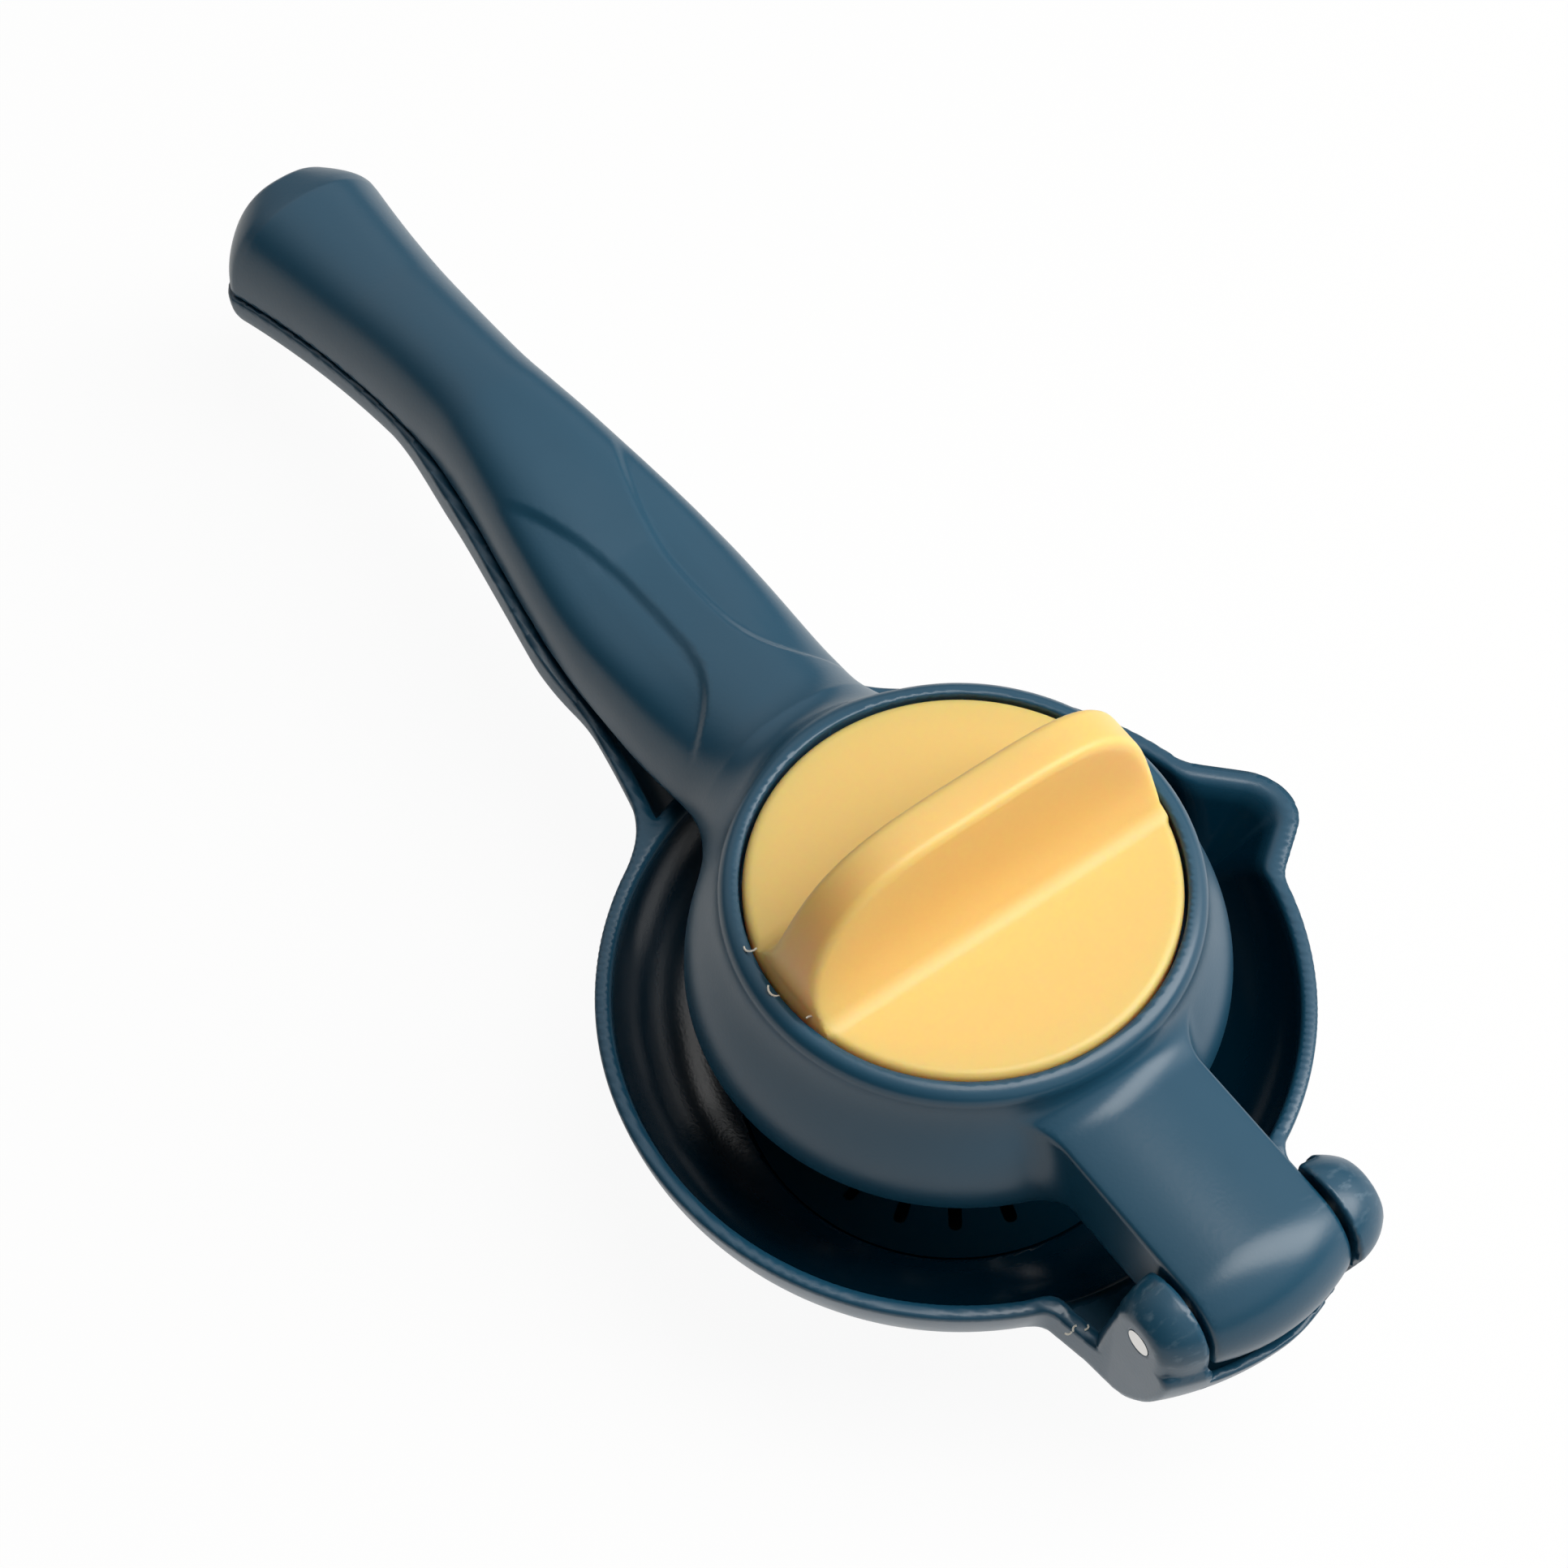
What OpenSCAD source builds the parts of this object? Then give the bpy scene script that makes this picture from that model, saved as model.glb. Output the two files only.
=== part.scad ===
// Hinged lemon squeezer, closed. Millimetres, +Z up, +X towards the handle's end.
// The origin is the centre of the foot, on the surface that the squeezer stands on.

/* [Bowl] */
// Outer radius of the bowl at its rim
bowl_r = 52; // [49:0.5:58]
// Height of the bowl's rim above the foot
rim_z = 32; // [31:0.5:36]
// Radius of the bowl's outer curve, seen in section
bowl_curve_r = 30.8; // [30:0.2:33]
// Height of that curve's centre above the rim
bowl_curve_rise = 3.2; // [2:0.2:4]
// Wall of the bowl
bowl_wall = 2.4; // [2:0.1:2.8]
// Radius of the foot
foot_r = 32.5; // [31.5:0.5:35]
// Thickness of the floor
floor_t = 2.5; // [2:0.1:3]

/* [Pouring lip] */
// How far the lip reaches past the rim
lip_reach = 8.2; // [5:0.2:11]
// Radius of the lip's nose
lip_nose_r = 10.5; // [6:0.5:11]
// Half width of the lip where it leaves the rim
lip_half_w = 12; // [10:0.5:14]
// Wall of the lip
lip_wall = 2.6; // [2:0.1:3]
// Depth of the lip below the rim
lip_depth = 13; // [9:0.5:16]

/* [Strainer] */
// Radius of the strainer plate
strainer_r = 31.3; // [30.5:0.1:31.4]
// Thickness of the strainer plate
strainer_t = 2.2; // [1.8:0.1:2.6]
// Width of the ledge that carries the strainer
ledge_w = 3.2; // [2:0.2:4]
// Gap round the strainer
strainer_gap = 0.3; // [0.2:0.05:0.5]
// Width of a slot
slot_w = 2; // [1.4:0.1:2.4]
// Length of a slot
slot_l = 6.5; // [5:0.5:7]
// Number of slots in the outer ring
slots = 20; // [12:1:22]

/* [Reamer] */
// Radius of the reamer at its base
reamer_r = 19; // [17:0.5:21]
// Height of the reamer
reamer_h = 29; // [26:0.5:31]
// Number of flutes
flutes = 8; // [6:1:10]
// Radius of a flute
flute_r = 6; // [5:0.25:7]
// Radius of the spigot that locates the reamer in the strainer
spigot_r = 5; // [4:0.5:7]

/* [Drum] */
// Radius of the drum's collar
collar_r = 33.9; // [33.5:0.1:36]
// Radius of the drum's lower edge
skirt_r = 38.9; // [38:0.1:41]
// Height of the drum's lower edge above the bowl's rim
skirt_rise = 7.5; // [6:0.5:9]
// Height of the drum's top above the bowl's rim
drum_rise = 30.1; // [29:0.1:33]
// Height of the crease between collar and skirt, below the drum's top
crease_drop = 8.5; // [7:0.5:10]
// Wall of the skirt
skirt_wall = 2.6; // [2:0.1:3]
// Thickness of the web under the knob
web_t = 3; // [2.5:0.1:4]
// Rounding of the drum's top edge
drum_edge_r = 2.4; // [1.5:0.1:2.6]

/* [Knob] */
// Radius of the knob's disc
knob_r = 30.5; // [29:0.1:30.6]
// Thickness of the knob's disc
knob_t = 4.3; // [3.5:0.1:5]
// Rounding of the disc's top edge
disc_edge_r = 1.2; // [0.6:0.1:1.6]
// Gap round the disc
knob_gap = 0.5; // [0.3:0.05:0.8]
// Height of the fin above the disc
fin_h = 22.9; // [16:0.1:25]
// Half length of the fin
fin_half_l = 29.9; // [27:0.1:30.4]
// Thickness of the fin at its crest
fin_t = 7; // [5:0.2:9]
// Thickness of the fin where it meets the disc
fin_foot_t = 14.6; // [13:0.2:17]
// Radius of the hub that turns in the web
hub_r = 7; // [6:0.25:8]
// Running gap between hub and web
hub_gap = 0.05; // [0.03:0.01:0.08]
// Free height under the disc and over the gripper
turn_gap = 0.3; // [0.2:0.05:0.5]

/* [Gripper] */
// Radius of the gripper plate
gripper_r = 29; // [27:0.5:30]
// Thickness of the gripper plate
gripper_t = 2.6; // [2:0.1:3.2]
// Length of a tooth
tooth_h = 5.5; // [4:0.5:6]
// Radius of a tooth at its root
tooth_r = 2.4; // [1.8:0.1:2.8]
// Number of teeth in the outer ring
teeth = 12; // [8:2:16]
// Height of the rim round the plate
grip_rim_h = 2; // [1:0.1:3]
// Width of that rim
grip_rim_w = 2; // [1.5:0.1:3]
// Width of the hex drive across its corners
drive_d = 10; // [8:0.25:12]
// Gap round the hex drive
drive_gap = 0.1; // [0.05:0.01:0.2]

/* [Screw] */
// Radius of the screw's head
head_r = 3.9; // [3.4:0.1:4.4]
// Height of the screw's head
head_h = 2.4; // [2:0.1:3]
// Radius of the screw's shank
shank_r = 1.75; // [1.5:0.05:2]
// Length of the shank
shank_l = 10; // [8:0.5:11]
// Radius of the washer
washer_r = 6.5; // [6:0.1:7.5]
// Thickness of the washer
washer_t = 0.8; // [0.6:0.1:1.2]
// Gap round the shank
shank_gap = 0.05; // [0.03:0.01:0.1]

/* [Hinge] */
// Distance of the hinge pin from the bowl's axis
hinge_x = 63.2; // [62:0.1:66]
// Height of the hinge pin above the bowl's rim
hinge_rise = 14; // [13:0.1:16]
// Radius of the hinge pin
pin_r = 2; // [1.6:0.1:2.5]
// Running gap of the pin in the lever
pin_gap = 0.06; // [0.04:0.01:0.09]
// Gap of the pin in the ears
pin_fit = 0.02; // [0.01:0.01:0.03]
// Radius of the knuckle at its middle
knuckle_r = 10.2; // [9.5:0.1:11]
// Half width of the arm and its knuckle
arm_half_w = 11.5; // [10.5:0.1:12]
// Radius of the knuckle's crowning
crown_r = 30; // [26:1:40]
// Height of the arm's underside above the bowl's rim
arm_rise = 8.5; // [7.8:0.1:9.5]
// Side gap between the knuckle and an ear
ear_gap = 0.7; // [0.4:0.1:1]
// Thickness of an ear
ear_t = 6.3; // [5:0.1:7]
// Radius of an ear beside the knuckle
ear_r = 7.6; // [7:0.1:7.8]
// Radius of an ear at its outer face
ear_edge_r = 4.4; // [3.8:0.1:5.4]
// Gap behind the knuckle
knuckle_gap = 0.5; // [0.4:0.05:0.8]
// Reach of the hinge block behind the pin, at its middle
block_reach = 9.8; // [9.2:0.1:10.6]
// Radius of the block's bowed back, seen from above
block_bow_r = 43; // [36:1:60]
// Height of the block's back edge above the bowl's rim
block_back_rise = 7; // [6:0.25:7.5]
// Radius of the block's undercut, seen in section
block_curve_r = 27.6; // [26:0.2:30]
// Height of that curve's centre above the back edge
block_curve_rise = 5.4; // [4:0.2:7]
// Wall of the bracket in front of the ears
bracket_wall = 2.6; // [2:0.1:3.2]
// How far each side of the bracket spreads towards the bowl
bracket_flare = 3; // [1:0.1:4]
// Depth of the pocket between the bowl and the ears
pocket_d = 9; // [5:0.5:9.5]

/* [Handle] */
// Reach of the handle from the bowl's axis
handle_reach = 181; // [170:0.5:190]
// Half width of the handle beside the bowl
root_half_w = 16; // [15:0.1:17]
// Half width of the handle at its waist
waist_half_w = 10.3; // [9.5:0.1:12]
// Half width of the handle near its end
end_half_w = 14.2; // [12:0.1:15]
// Distance of the waist from the bowl's axis
waist_x = 125; // [115:1:132]
// Height of the parting line above the rim, beside the bowl
root_rise = 3.6; // [2.5:0.1:4.5]
// Height of the parting line above the rim, at the crest
crest_rise = 7; // [5.5:0.1:8.5]
// Fall of the parting line from the crest to the handle's end
end_drop = 14; // [9:0.5:15]
// Height of the upper handle over the parting line
upper_h = 13.5; // [12:0.1:15]
// Extra height of the upper handle near its end
upper_end_h = 1.3; // [0:0.1:2]
// Extra height of the upper handle where it meets the drum
upper_root_h = 7; // [5:0.5:8]
// Depth of the lower handle under the parting line
lower_h = 12; // [10:0.1:13]
// How far the lower handle stands proud of the upper one
lower_proud = 0.6; // [0.2:0.1:1]
// How much further it swells between root and waist
lower_swell = 1; // [0:0.1:1.5]
// Gap between the closed handles
handle_gap = 0.5; // [0.4:0.1:0.8]
// Wall of the handles
handle_wall = 2.4; // [2:0.1:2.8]
// Length of the rounded end, seen from above
tip_l = 10; // [8:0.5:14]
// Length over which the end rolls down
tip_roll = 4.5; // [3.5:0.5:8]
// Depth of the thumb scallops
scallop_d = 1.5; // [0.8:0.1:1.8]
// Half width of the spine between the scallops, at its narrowest
spine_half_w = 3.7; // [3:0.1:4.5]
// Number of ribs across each handle
ribs = 5; // [3:1:7]
// Thickness of a rib
rib_t = 1.6; // [1.2:0.1:2.2]

/* [Hidden] */

navy = [0.17, 0.31, 0.42];
yellow = [0.99, 0.77, 0.40];
steel = [0.78, 0.79, 0.80];
smooth = 96;    // sides of a large round
fine = 48;      // sides of a small round
over = 1;       // how far a cut runs past what it cuts

// Heights from the surface the squeezer stands on
skirt_z = rim_z + skirt_rise;
drum_z = rim_z + drum_rise;
pin_z = rim_z + hinge_rise;
disc_z = drum_z - knob_t;
web_top = disc_z - turn_gap;
web_z = web_top - web_t;
grip_top = web_z - turn_gap;
grip_z = grip_top - gripper_t;

// The bowl's curve: the radius its arc is centred on, and how far it falls at a radius
curve_x = bowl_r - sqrt(pow(bowl_curve_r, 2) - pow(bowl_curve_rise, 2));
function curve_drop(r) = sqrt(pow(bowl_curve_r - bowl_wall, 2) - pow(r - curve_x, 2));

// The strainer's top meets the bowl's inner curve at its edge
plate_z = rim_z + bowl_curve_rise - curve_drop(strainer_r + strainer_gap);
ledge_z = plate_z - strainer_t;
well_r = strainer_r + strainer_gap - ledge_w;

// Hinge block
ear_in = arm_half_w + ear_gap;
ear_out = ear_in + ear_t;
ear_front = hinge_x - ear_r;
block_back = hinge_x + block_reach;
block_top = rim_z + block_back_rise;

// ---- Handle curves, as functions of the distance x from the bowl's axis ----
root_x = 70;                      // the handle keeps its root width up to here
crest_x = 115;                    // highest point of the parting line
flare_x = 48;                     // the handle flares into the drum inside this
spine_x = 71;                     // narrowest place of the spine
tip_x = handle_reach - tip_l;

function ramp(x, a, b) = max(0, min(1, (x - a) / (b - a)));
function ease(t) = t * t * (3 - 2 * t);
function mix(a, b, t) = a + (b - a) * t;
function end_round(x, l, n) = pow(1 - pow(ramp(x, handle_reach - l, handle_reach), n), 1 / n);
function plan_round(x) = end_round(x, tip_l, 1.5);
function roll_down(x) = end_round(x, tip_roll, 1.6);

function parting(x) = rim_z
    + (x < crest_x ? mix(root_rise, crest_rise, ease(ramp(x, root_x - 10, crest_x)))
                   : crest_rise - end_drop * pow((x - crest_x) / (handle_reach - crest_x), 1.4))
    + (skirt_rise - root_rise) * pow(ramp(-x, -60, -36), 2);
function body_half_w(x) =
    x < waist_x ? mix(root_half_w, waist_half_w, ease(ramp(x, root_x, waist_x)))
                : waist_half_w + (end_half_w - waist_half_w)
                  * pow((x - waist_x) / (tip_x - waist_x), 2);
function flare(x, edge_x, grow) = grow * pow(ramp(-x, -edge_x, 14 - edge_x), 2);

function upper_half_w(x) = body_half_w(x) * plan_round(x) + flare(x, flare_x, 8);
function upper_top(x) = roll_down(x) * (upper_h + upper_end_h * ramp(x, waist_x + 20, tip_x)
    + upper_root_h * pow(ramp(-x, -80, -40), 1.5));

// The lower handle is fuller and squarer between its root and its waist
function swell(x) = ease(ramp(x, root_x, root_x + 20)) * ease(ramp(-x, -waist_x - 5, -crest_x));
function lower_half_w(x) = (body_half_w(x) + lower_proud + lower_swell * swell(x)) * plan_round(x)
    + flare(x, bowl_r + 6, 4);
function lower_depth(x) = lower_h * roll_down(x);
function lower_edge(x) = mix(rim_z, parting(x) - handle_gap, ease(ramp(x, bowl_r, 92)));

// A thumb scallop: a dish on each side of the spine that fades out before the flank
function spine(x) = spine_half_w + (x < spine_x ? 0.011 : 0.007) * pow(x - spine_x, 2);
function scallop(x, y, w) = scallop_d * ease(ramp(y, spine(x) - 1, spine(x) + 5))
    * ease(ramp(-y / w, -0.92, -0.5)) * ease(ramp(x, 36, 46)) * ramp(-x, -116, -98);

// Stations along the handle, closer together round its end
function stations(start, stop) = concat(
    [for (x = [start : 6 : tip_x - 3]) x],
    [for (t = [0, 0.22, 0.42, 0.58, 0.7, 0.8, 0.88, 0.94, 0.98, 0.996]) mix(tip_x, stop, t)]);

arch_sides = 24;                  // steps round the arch of a handle section
arch_n = 2.4;                     // squareness of that arch
function arch_y(a, w, n) = w * sign(cos(a)) * pow(abs(cos(a)), 2 / n);
function arch(x, w, z, h, n, dish) = [for (i = [0 : arch_sides])
    let (a = 180 * (h > 0 ? i : arch_sides - i) / arch_sides, y = arch_y(a, w, n))
    [x, y, z + h * pow(sin(a), 2 / n) - dish * scallop(x, abs(y), w)]];

// Skins a list of sections, each a closed loop of the same number of points
module skin(rings) {
    n = len(rings[0]);
    m = len(rings);
    points = [for (r = rings) for (p = r) p];
    sides = [for (j = [0 : m - 2]) for (i = [0 : n - 1]) let (k = (i + 1) % n)
        each [[j * n + i, (j + 1) * n + i, j * n + k],
              [j * n + k, (j + 1) * n + i, (j + 1) * n + k]]];
    first = [[for (i = [0 : n - 1]) i]];
    last = [[for (i = [n - 1 : -1 : 0]) (m - 1) * n + i]];
    polyhedron(points = points, faces = concat(first, sides, last));
}

function upper_rings(start, inset) = [for (x = stations(start, handle_reach - inset))
    let (w = upper_half_w(x + inset * 0.5) - inset, h = upper_top(x + inset * 0.5) - inset)
    arch(x, max(0.8, w), parting(x) - (inset > 0 ? over : 0),
         max(0.6, h) + (inset > 0 ? over : 0), arch_n, 1)];

function lower_rings(start, inset) = [for (x = stations(start, handle_reach - inset))
    let (w = lower_half_w(x + inset * 0.5) - inset, h = lower_depth(x + inset * 0.5) - inset)
    arch(x, max(0.8, w), lower_edge(x) + (inset > 0 ? over : 0),
         -max(0.6, h) - (inset > 0 ? over : 0), arch_n + swell(x), 0)];

// Cross ribs, as thin plates that a handle's hollow leaves standing
module rib_plates() {
    pitch = (tip_x - root_x) / ribs;
    for (i = [0 : ribs - 1])
        translate([root_x + pitch * (i + 0.5) - rib_t / 2, -bowl_r, 0])
            cube([rib_t, 2 * bowl_r, drum_z]);
}

// ---- Shared profiles ----

// Section of the hinge's crowned knuckle about the pin, as radius and half width
module crown_section(r, half_w) {
    intersection() {
        translate([r - crown_r, 0]) circle(r = crown_r, $fn = smooth);
        translate([0, -half_w]) square([r + over, 2 * half_w]);
    }
}

module crowned_knuckle(r, half_w) {
    translate([-hinge_x, 0, pin_z]) rotate([-90, 0, 0])
        rotate_extrude($fn = smooth) crown_section(r, half_w);
}

module pin_bore(gap) {
    translate([-hinge_x, -ear_out - over, pin_z]) rotate([-90, 0, 0])
        cylinder(r = pin_r + gap, h = 2 * (ear_out + over), $fn = fine);
}

// ---- Lower body ----

module bowl_outer() {
    rotate_extrude($fn = smooth) {
        intersection() {
            translate([curve_x, rim_z + bowl_curve_rise]) circle(r = bowl_curve_r, $fn = smooth);
            square([bowl_r + over, rim_z]);
        }
        square([curve_x, rim_z]);
        square([foot_r, ledge_z + strainer_t]);
    }
}

module bowl_inner() {
    rotate_extrude($fn = smooth) {
        intersection() {
            translate([curve_x, rim_z + bowl_curve_rise])
                circle(r = bowl_curve_r - bowl_wall, $fn = smooth);
            translate([0, plate_z]) square([bowl_r, rim_z]);
        }
        translate([0, plate_z]) square([curve_x, rim_z]);
        translate([0, ledge_z]) square([strainer_r + strainer_gap, rim_z - ledge_z]);
        translate([0, floor_t]) square([well_r, rim_z]);
    }
}

// The pouring lip, a V that leans out of the bowl; inset makes its hollow
module lip(inset) {
    land = 1.5;
    keel_r = 4;
    top_z = rim_z - land;
    leave_y = bowl_wall / 2 - sqrt(pow(bowl_r, 2) - pow(lip_half_w, 2));
    rise = land + (inset > 0 ? over : 0);
    hull() {
        translate([0, -bowl_r - lip_reach + lip_nose_r, top_z])
            cylinder(r = lip_nose_r - inset, h = rise, $fn = 32);
        translate([-lip_half_w + inset, leave_y, top_z])
            cube([2 * (lip_half_w - inset), 2 * keel_r, rise]);
        translate([0, -bowl_r + 2 * keel_r, rim_z - lip_depth + inset])
            cylinder(r = keel_r - inset / 2, h = rise, $fn = 32);
    }
}

module across(half_w) {
    rotate([90, 0, 0]) linear_extrude(2 * half_w, center = true) children();
}

// Plan of the hinge block: it spreads towards the bowl
module block_plan() {
    from = -bowl_r + 10;
    wide = ear_out + bracket_flare;
    polygon([[from, -wide], [from, wide], [-ear_front - 2, ear_out], [-block_back, ear_out],
             [-block_back, -ear_out], [-ear_front - 2, -ear_out]]);
}

// Radial section of the block about the centre of its bowed back: a curved undercut
module block_section() {
    in = sqrt(pow(block_curve_r, 2) - pow(block_curve_rise, 2));
    intersection() {
        translate([block_bow_r - in, block_top + block_curve_rise])
            circle(r = block_curve_r, $fn = smooth);
        square([block_bow_r + over, block_top]);
    }
}

// The block reaches the rim in front of the pin, and its back edge behind it
module block_side() {
    square([hinge_x + over, rim_z]);
    translate([hinge_x, 0]) square([block_reach + over, block_top]);
}

// Section of an ear about the pin, domed towards its outer face
module ear_section() {
    drop = ear_r - ear_edge_r;
    span = ear_t + ear_gap;
    dome_r = (pow(span, 2) + pow(drop, 2)) / (2 * drop);
    intersection() {
        translate([ear_r - dome_r, arm_half_w]) circle(r = dome_r, $fn = smooth);
        translate([0, ear_in]) square([ear_r, ear_t]);
    }
}

// In front the ears run down to the rim, behind them the block's back edge carries them
module ears() {
    sunk = 0.3;
    for (side = [0, 1]) mirror([0, side, 0]) translate([-hinge_x, 0, 0]) {
        translate([0, 0, pin_z]) rotate([-90, 0, 0]) rotate_extrude($fn = smooth) ear_section();
        translate([0, 0, rim_z - sunk]) linear_extrude(hinge_rise + sunk) ear_section();
        translate([0, 0, block_top - sunk]) linear_extrude(pin_z - block_top + sunk)
            mirror([1, 0]) ear_section();
    }
}

// The pocket between the bowl's wall and the ears
module bracket_pocket() {
    half = ear_out - bracket_wall;
    translate([-ear_front - bracket_wall / 2, -half, rim_z - pocket_d])
        cube([ear_front - bowl_r + 4 * bowl_wall, 2 * half, pocket_d + over]);
}

module hinge_block() {
    difference() {
        union() {
            intersection() {
                translate([block_bow_r - block_back, 0, 0])
                    rotate_extrude($fn = smooth) block_section();
                linear_extrude(block_top) block_plan();
                mirror([1, 0, 0]) across(bowl_r) block_side();
            }
            ears();
        }
        crowned_knuckle(knuckle_r + knuckle_gap, ear_in);
        bracket_pocket();
    }
}

module lower_handle() {
    difference() {
        skin(lower_rings(bowl_r - 8, 0));
        difference() {
            skin(lower_rings(bowl_r - 1, handle_wall));
            rib_plates();
        }
    }
}

module lower_body() {
    color(navy) difference() {
        union() {
            bowl_outer();
            lip(0);
            hinge_block();
            lower_handle();
        }
        bowl_inner();
        lip(lip_wall);
        pin_bore(pin_fit);
    }
}

// ---- Upper lever ----

// Half section of the collar and the bulged skirt below its crease. An inset gives the
// chamber inside them, which then runs past the lower edge.
module skirt_section(inset, below) {
    land = 1;
    out = skirt_r - collar_r;
    rise = drum_z - crease_drop - skirt_z - land;
    bulge_r = (pow(out, 2) + pow(rise, 2)) / (2 * out);
    translate([0, -below]) square([collar_r - inset, drum_z - drum_edge_r - skirt_z + below]);
    intersection() {
        translate([skirt_r - bulge_r, land]) circle(r = bulge_r - inset, $fn = smooth);
        translate([0, -below]) square([skirt_r + over, below + rise + 2 * land]);
    }
}

module drum_section() {
    high = drum_z - skirt_z;
    skirt_section(0, 0);
    square([collar_r - drum_edge_r, high]);
    translate([collar_r - drum_edge_r, high - drum_edge_r]) circle(r = drum_edge_r, $fn = fine);
}

module drum() {
    translate([0, 0, skirt_z]) rotate_extrude($fn = smooth) drum_section();
}

// The press chamber under the web, and the seat of the knob above it
module drum_hollows() {
    translate([0, 0, skirt_z]) rotate_extrude($fn = smooth) intersection() {
        skirt_section(skirt_wall, over);
        translate([0, -over]) square([skirt_r, web_z - skirt_z + over]);
    }
    translate([0, 0, web_top])
        cylinder(r = knob_r + knob_gap, h = drum_z, $fn = smooth);
    translate([0, 0, web_z - over])
        cylinder(r = hub_r + hub_gap, h = web_t + 2 * over, $fn = fine);
}

// Plan of the arm, with a fillet on each side that runs into the drum near its crease
module arm_plan() {
    fillet_r = 10;
    proud = 1;
    mid_y = arm_half_w + fillet_r;
    mid_x = sqrt(pow(collar_r + proud + fillet_r, 2) - pow(mid_y, 2));
    steps = 10;
    side = concat([[-hinge_x, arm_half_w]],
        [for (i = [0 : steps]) let (a = atan(mid_x / mid_y) * i / steps)
            [fillet_r * sin(a) - mid_x, mid_y - fillet_r * cos(a)]]);
    polygon(concat(side, [[0, 0]], [for (i = [steps + 1 : -1 : 0]) [side[i][0], -side[i][1]]]));
}

// The arm: crowned across its width like the knuckle that it runs into
module arm() {
    wide = collar_r;
    intersection() {
        translate([-hinge_x, 0, 0]) rotate([90, 0, 90]) linear_extrude(hinge_x) intersection() {
            translate([0, pin_z + knuckle_r - crown_r]) circle(r = crown_r, $fn = smooth);
            translate([-wide, rim_z + arm_rise]) square([2 * wide, hinge_rise + knuckle_r]);
        }
        linear_extrude(drum_z) arm_plan();
    }
}

module upper_handle() {
    difference() {
        skin(upper_rings(28, 0));
        difference() {
            skin(upper_rings(30, handle_wall));
            rib_plates();
            cylinder(r = skirt_r, h = drum_z, $fn = smooth);
        }
    }
}

module upper_lever() {
    color(navy) difference() {
        union() {
            drum();
            arm();
            crowned_knuckle(knuckle_r, arm_half_w);
            upper_handle();
        }
        drum_hollows();
        pin_bore(pin_gap);
    }
}

// ---- Knob ----

// Section of the fin: a drafted blade with rounded crest edges and a hollowed foot
module fin_section() {
    draft = 0.6;
    crest_r = 1.5;
    foot = fin_foot_t / 2;
    crest = fin_t / 2;
    root = crest + draft;
    hollow_r = foot - root;
    translate([-foot, -disc_edge_r]) square([2 * foot, disc_edge_r]);
    difference() {
        translate([-foot, 0]) square([2 * foot, hollow_r]);
        for (side = [-1, 1])
            translate([side * foot, hollow_r]) circle(r = hollow_r, $fn = fine);
    }
    polygon([[-root, 0], [root, 0], [crest, fin_h - crest_r], [crest - crest_r, fin_h],
             [crest_r - crest, fin_h], [-crest, fin_h - crest_r]]);
    for (side = [-1, 1])
        translate([side * (crest - crest_r), fin_h - crest_r]) circle(r = crest_r, $fn = fine);
}

function fin_top(t) = fin_h * sqrt(max(0, 1 - pow(abs(t), 3)));

module fin_arch() {
    polygon(concat([[-fin_half_l, -disc_edge_r]],
        [for (t = [-1, -0.985, -0.95, -0.9, -0.83, -0.75, -0.62, -0.45, -0.25, 0,
                   0.25, 0.45, 0.62, 0.75, 0.83, 0.9, 0.95, 0.985, 1])
            [fin_half_l * t, fin_top(t)]],
        [[fin_half_l, -disc_edge_r]]));
}

// Half section of the disc, with its rounded top edge
module disc_section() {
    square([knob_r, knob_t - disc_edge_r]);
    square([knob_r - disc_edge_r, knob_t]);
    translate([knob_r - disc_edge_r, knob_t - disc_edge_r]) circle(r = disc_edge_r, $fn = fine);
}

module twist_knob() {
    fin_inset = 0.3;
    bore_spare = 0.5;
    color(yellow) difference() {
        union() {
            translate([0, 0, disc_z]) rotate_extrude($fn = smooth) disc_section();
            translate([0, 0, drum_z]) intersection() {
                across(knob_r) fin_section();
                rotate([90, 0, 90]) linear_extrude(2 * knob_r, center = true) fin_arch();
                translate([0, 0, -over - disc_edge_r])
                    cylinder(r = knob_r - fin_inset, h = fin_h + 3 * over, $fn = smooth);
            }
            translate([0, 0, grip_top]) cylinder(r = hub_r, h = disc_z - grip_top, $fn = fine);
            translate([0, 0, grip_z]) cylinder(d = drive_d, h = gripper_t, $fn = 6);
        }
        translate([0, 0, grip_z - over])
            cylinder(r = shank_r + shank_gap, h = shank_l + over + bore_spare, $fn = fine);
    }
}

// ---- Gripper, washer and screw ----

// A ring of blunt cone teeth, turned by a share of their pitch
module tooth_ring(ring_r, count, turn) {
    tip_r = 0.5;
    for (i = [0 : count - 1])
        rotate([0, 0, (i + turn) * 360 / count]) translate([ring_r, 0, grip_z - tooth_h])
            cylinder(r1 = tip_r, r2 = tooth_r, h = tooth_h + gripper_t / 2, $fn = fine);
}

module fruit_gripper() {
    color(yellow) difference() {
        union() {
            translate([0, 0, grip_z]) cylinder(r = gripper_r, h = gripper_t, $fn = smooth);
            translate([0, 0, grip_z - grip_rim_h]) difference() {
                cylinder(r = gripper_r, h = grip_rim_h + gripper_t / 2, $fn = smooth);
                translate([0, 0, -over])
                    cylinder(r = gripper_r - grip_rim_w, h = grip_rim_h + 2 * gripper_t,
                             $fn = smooth);
            }
            tooth_ring(gripper_r * 0.8, teeth, 0);
            tooth_ring(gripper_r * 0.5, teeth / 2, 0.5);
        }
        translate([0, 0, grip_z - over])
            cylinder(d = drive_d + 2 * drive_gap, h = gripper_t + 2 * over, $fn = 6);
    }
}

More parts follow.
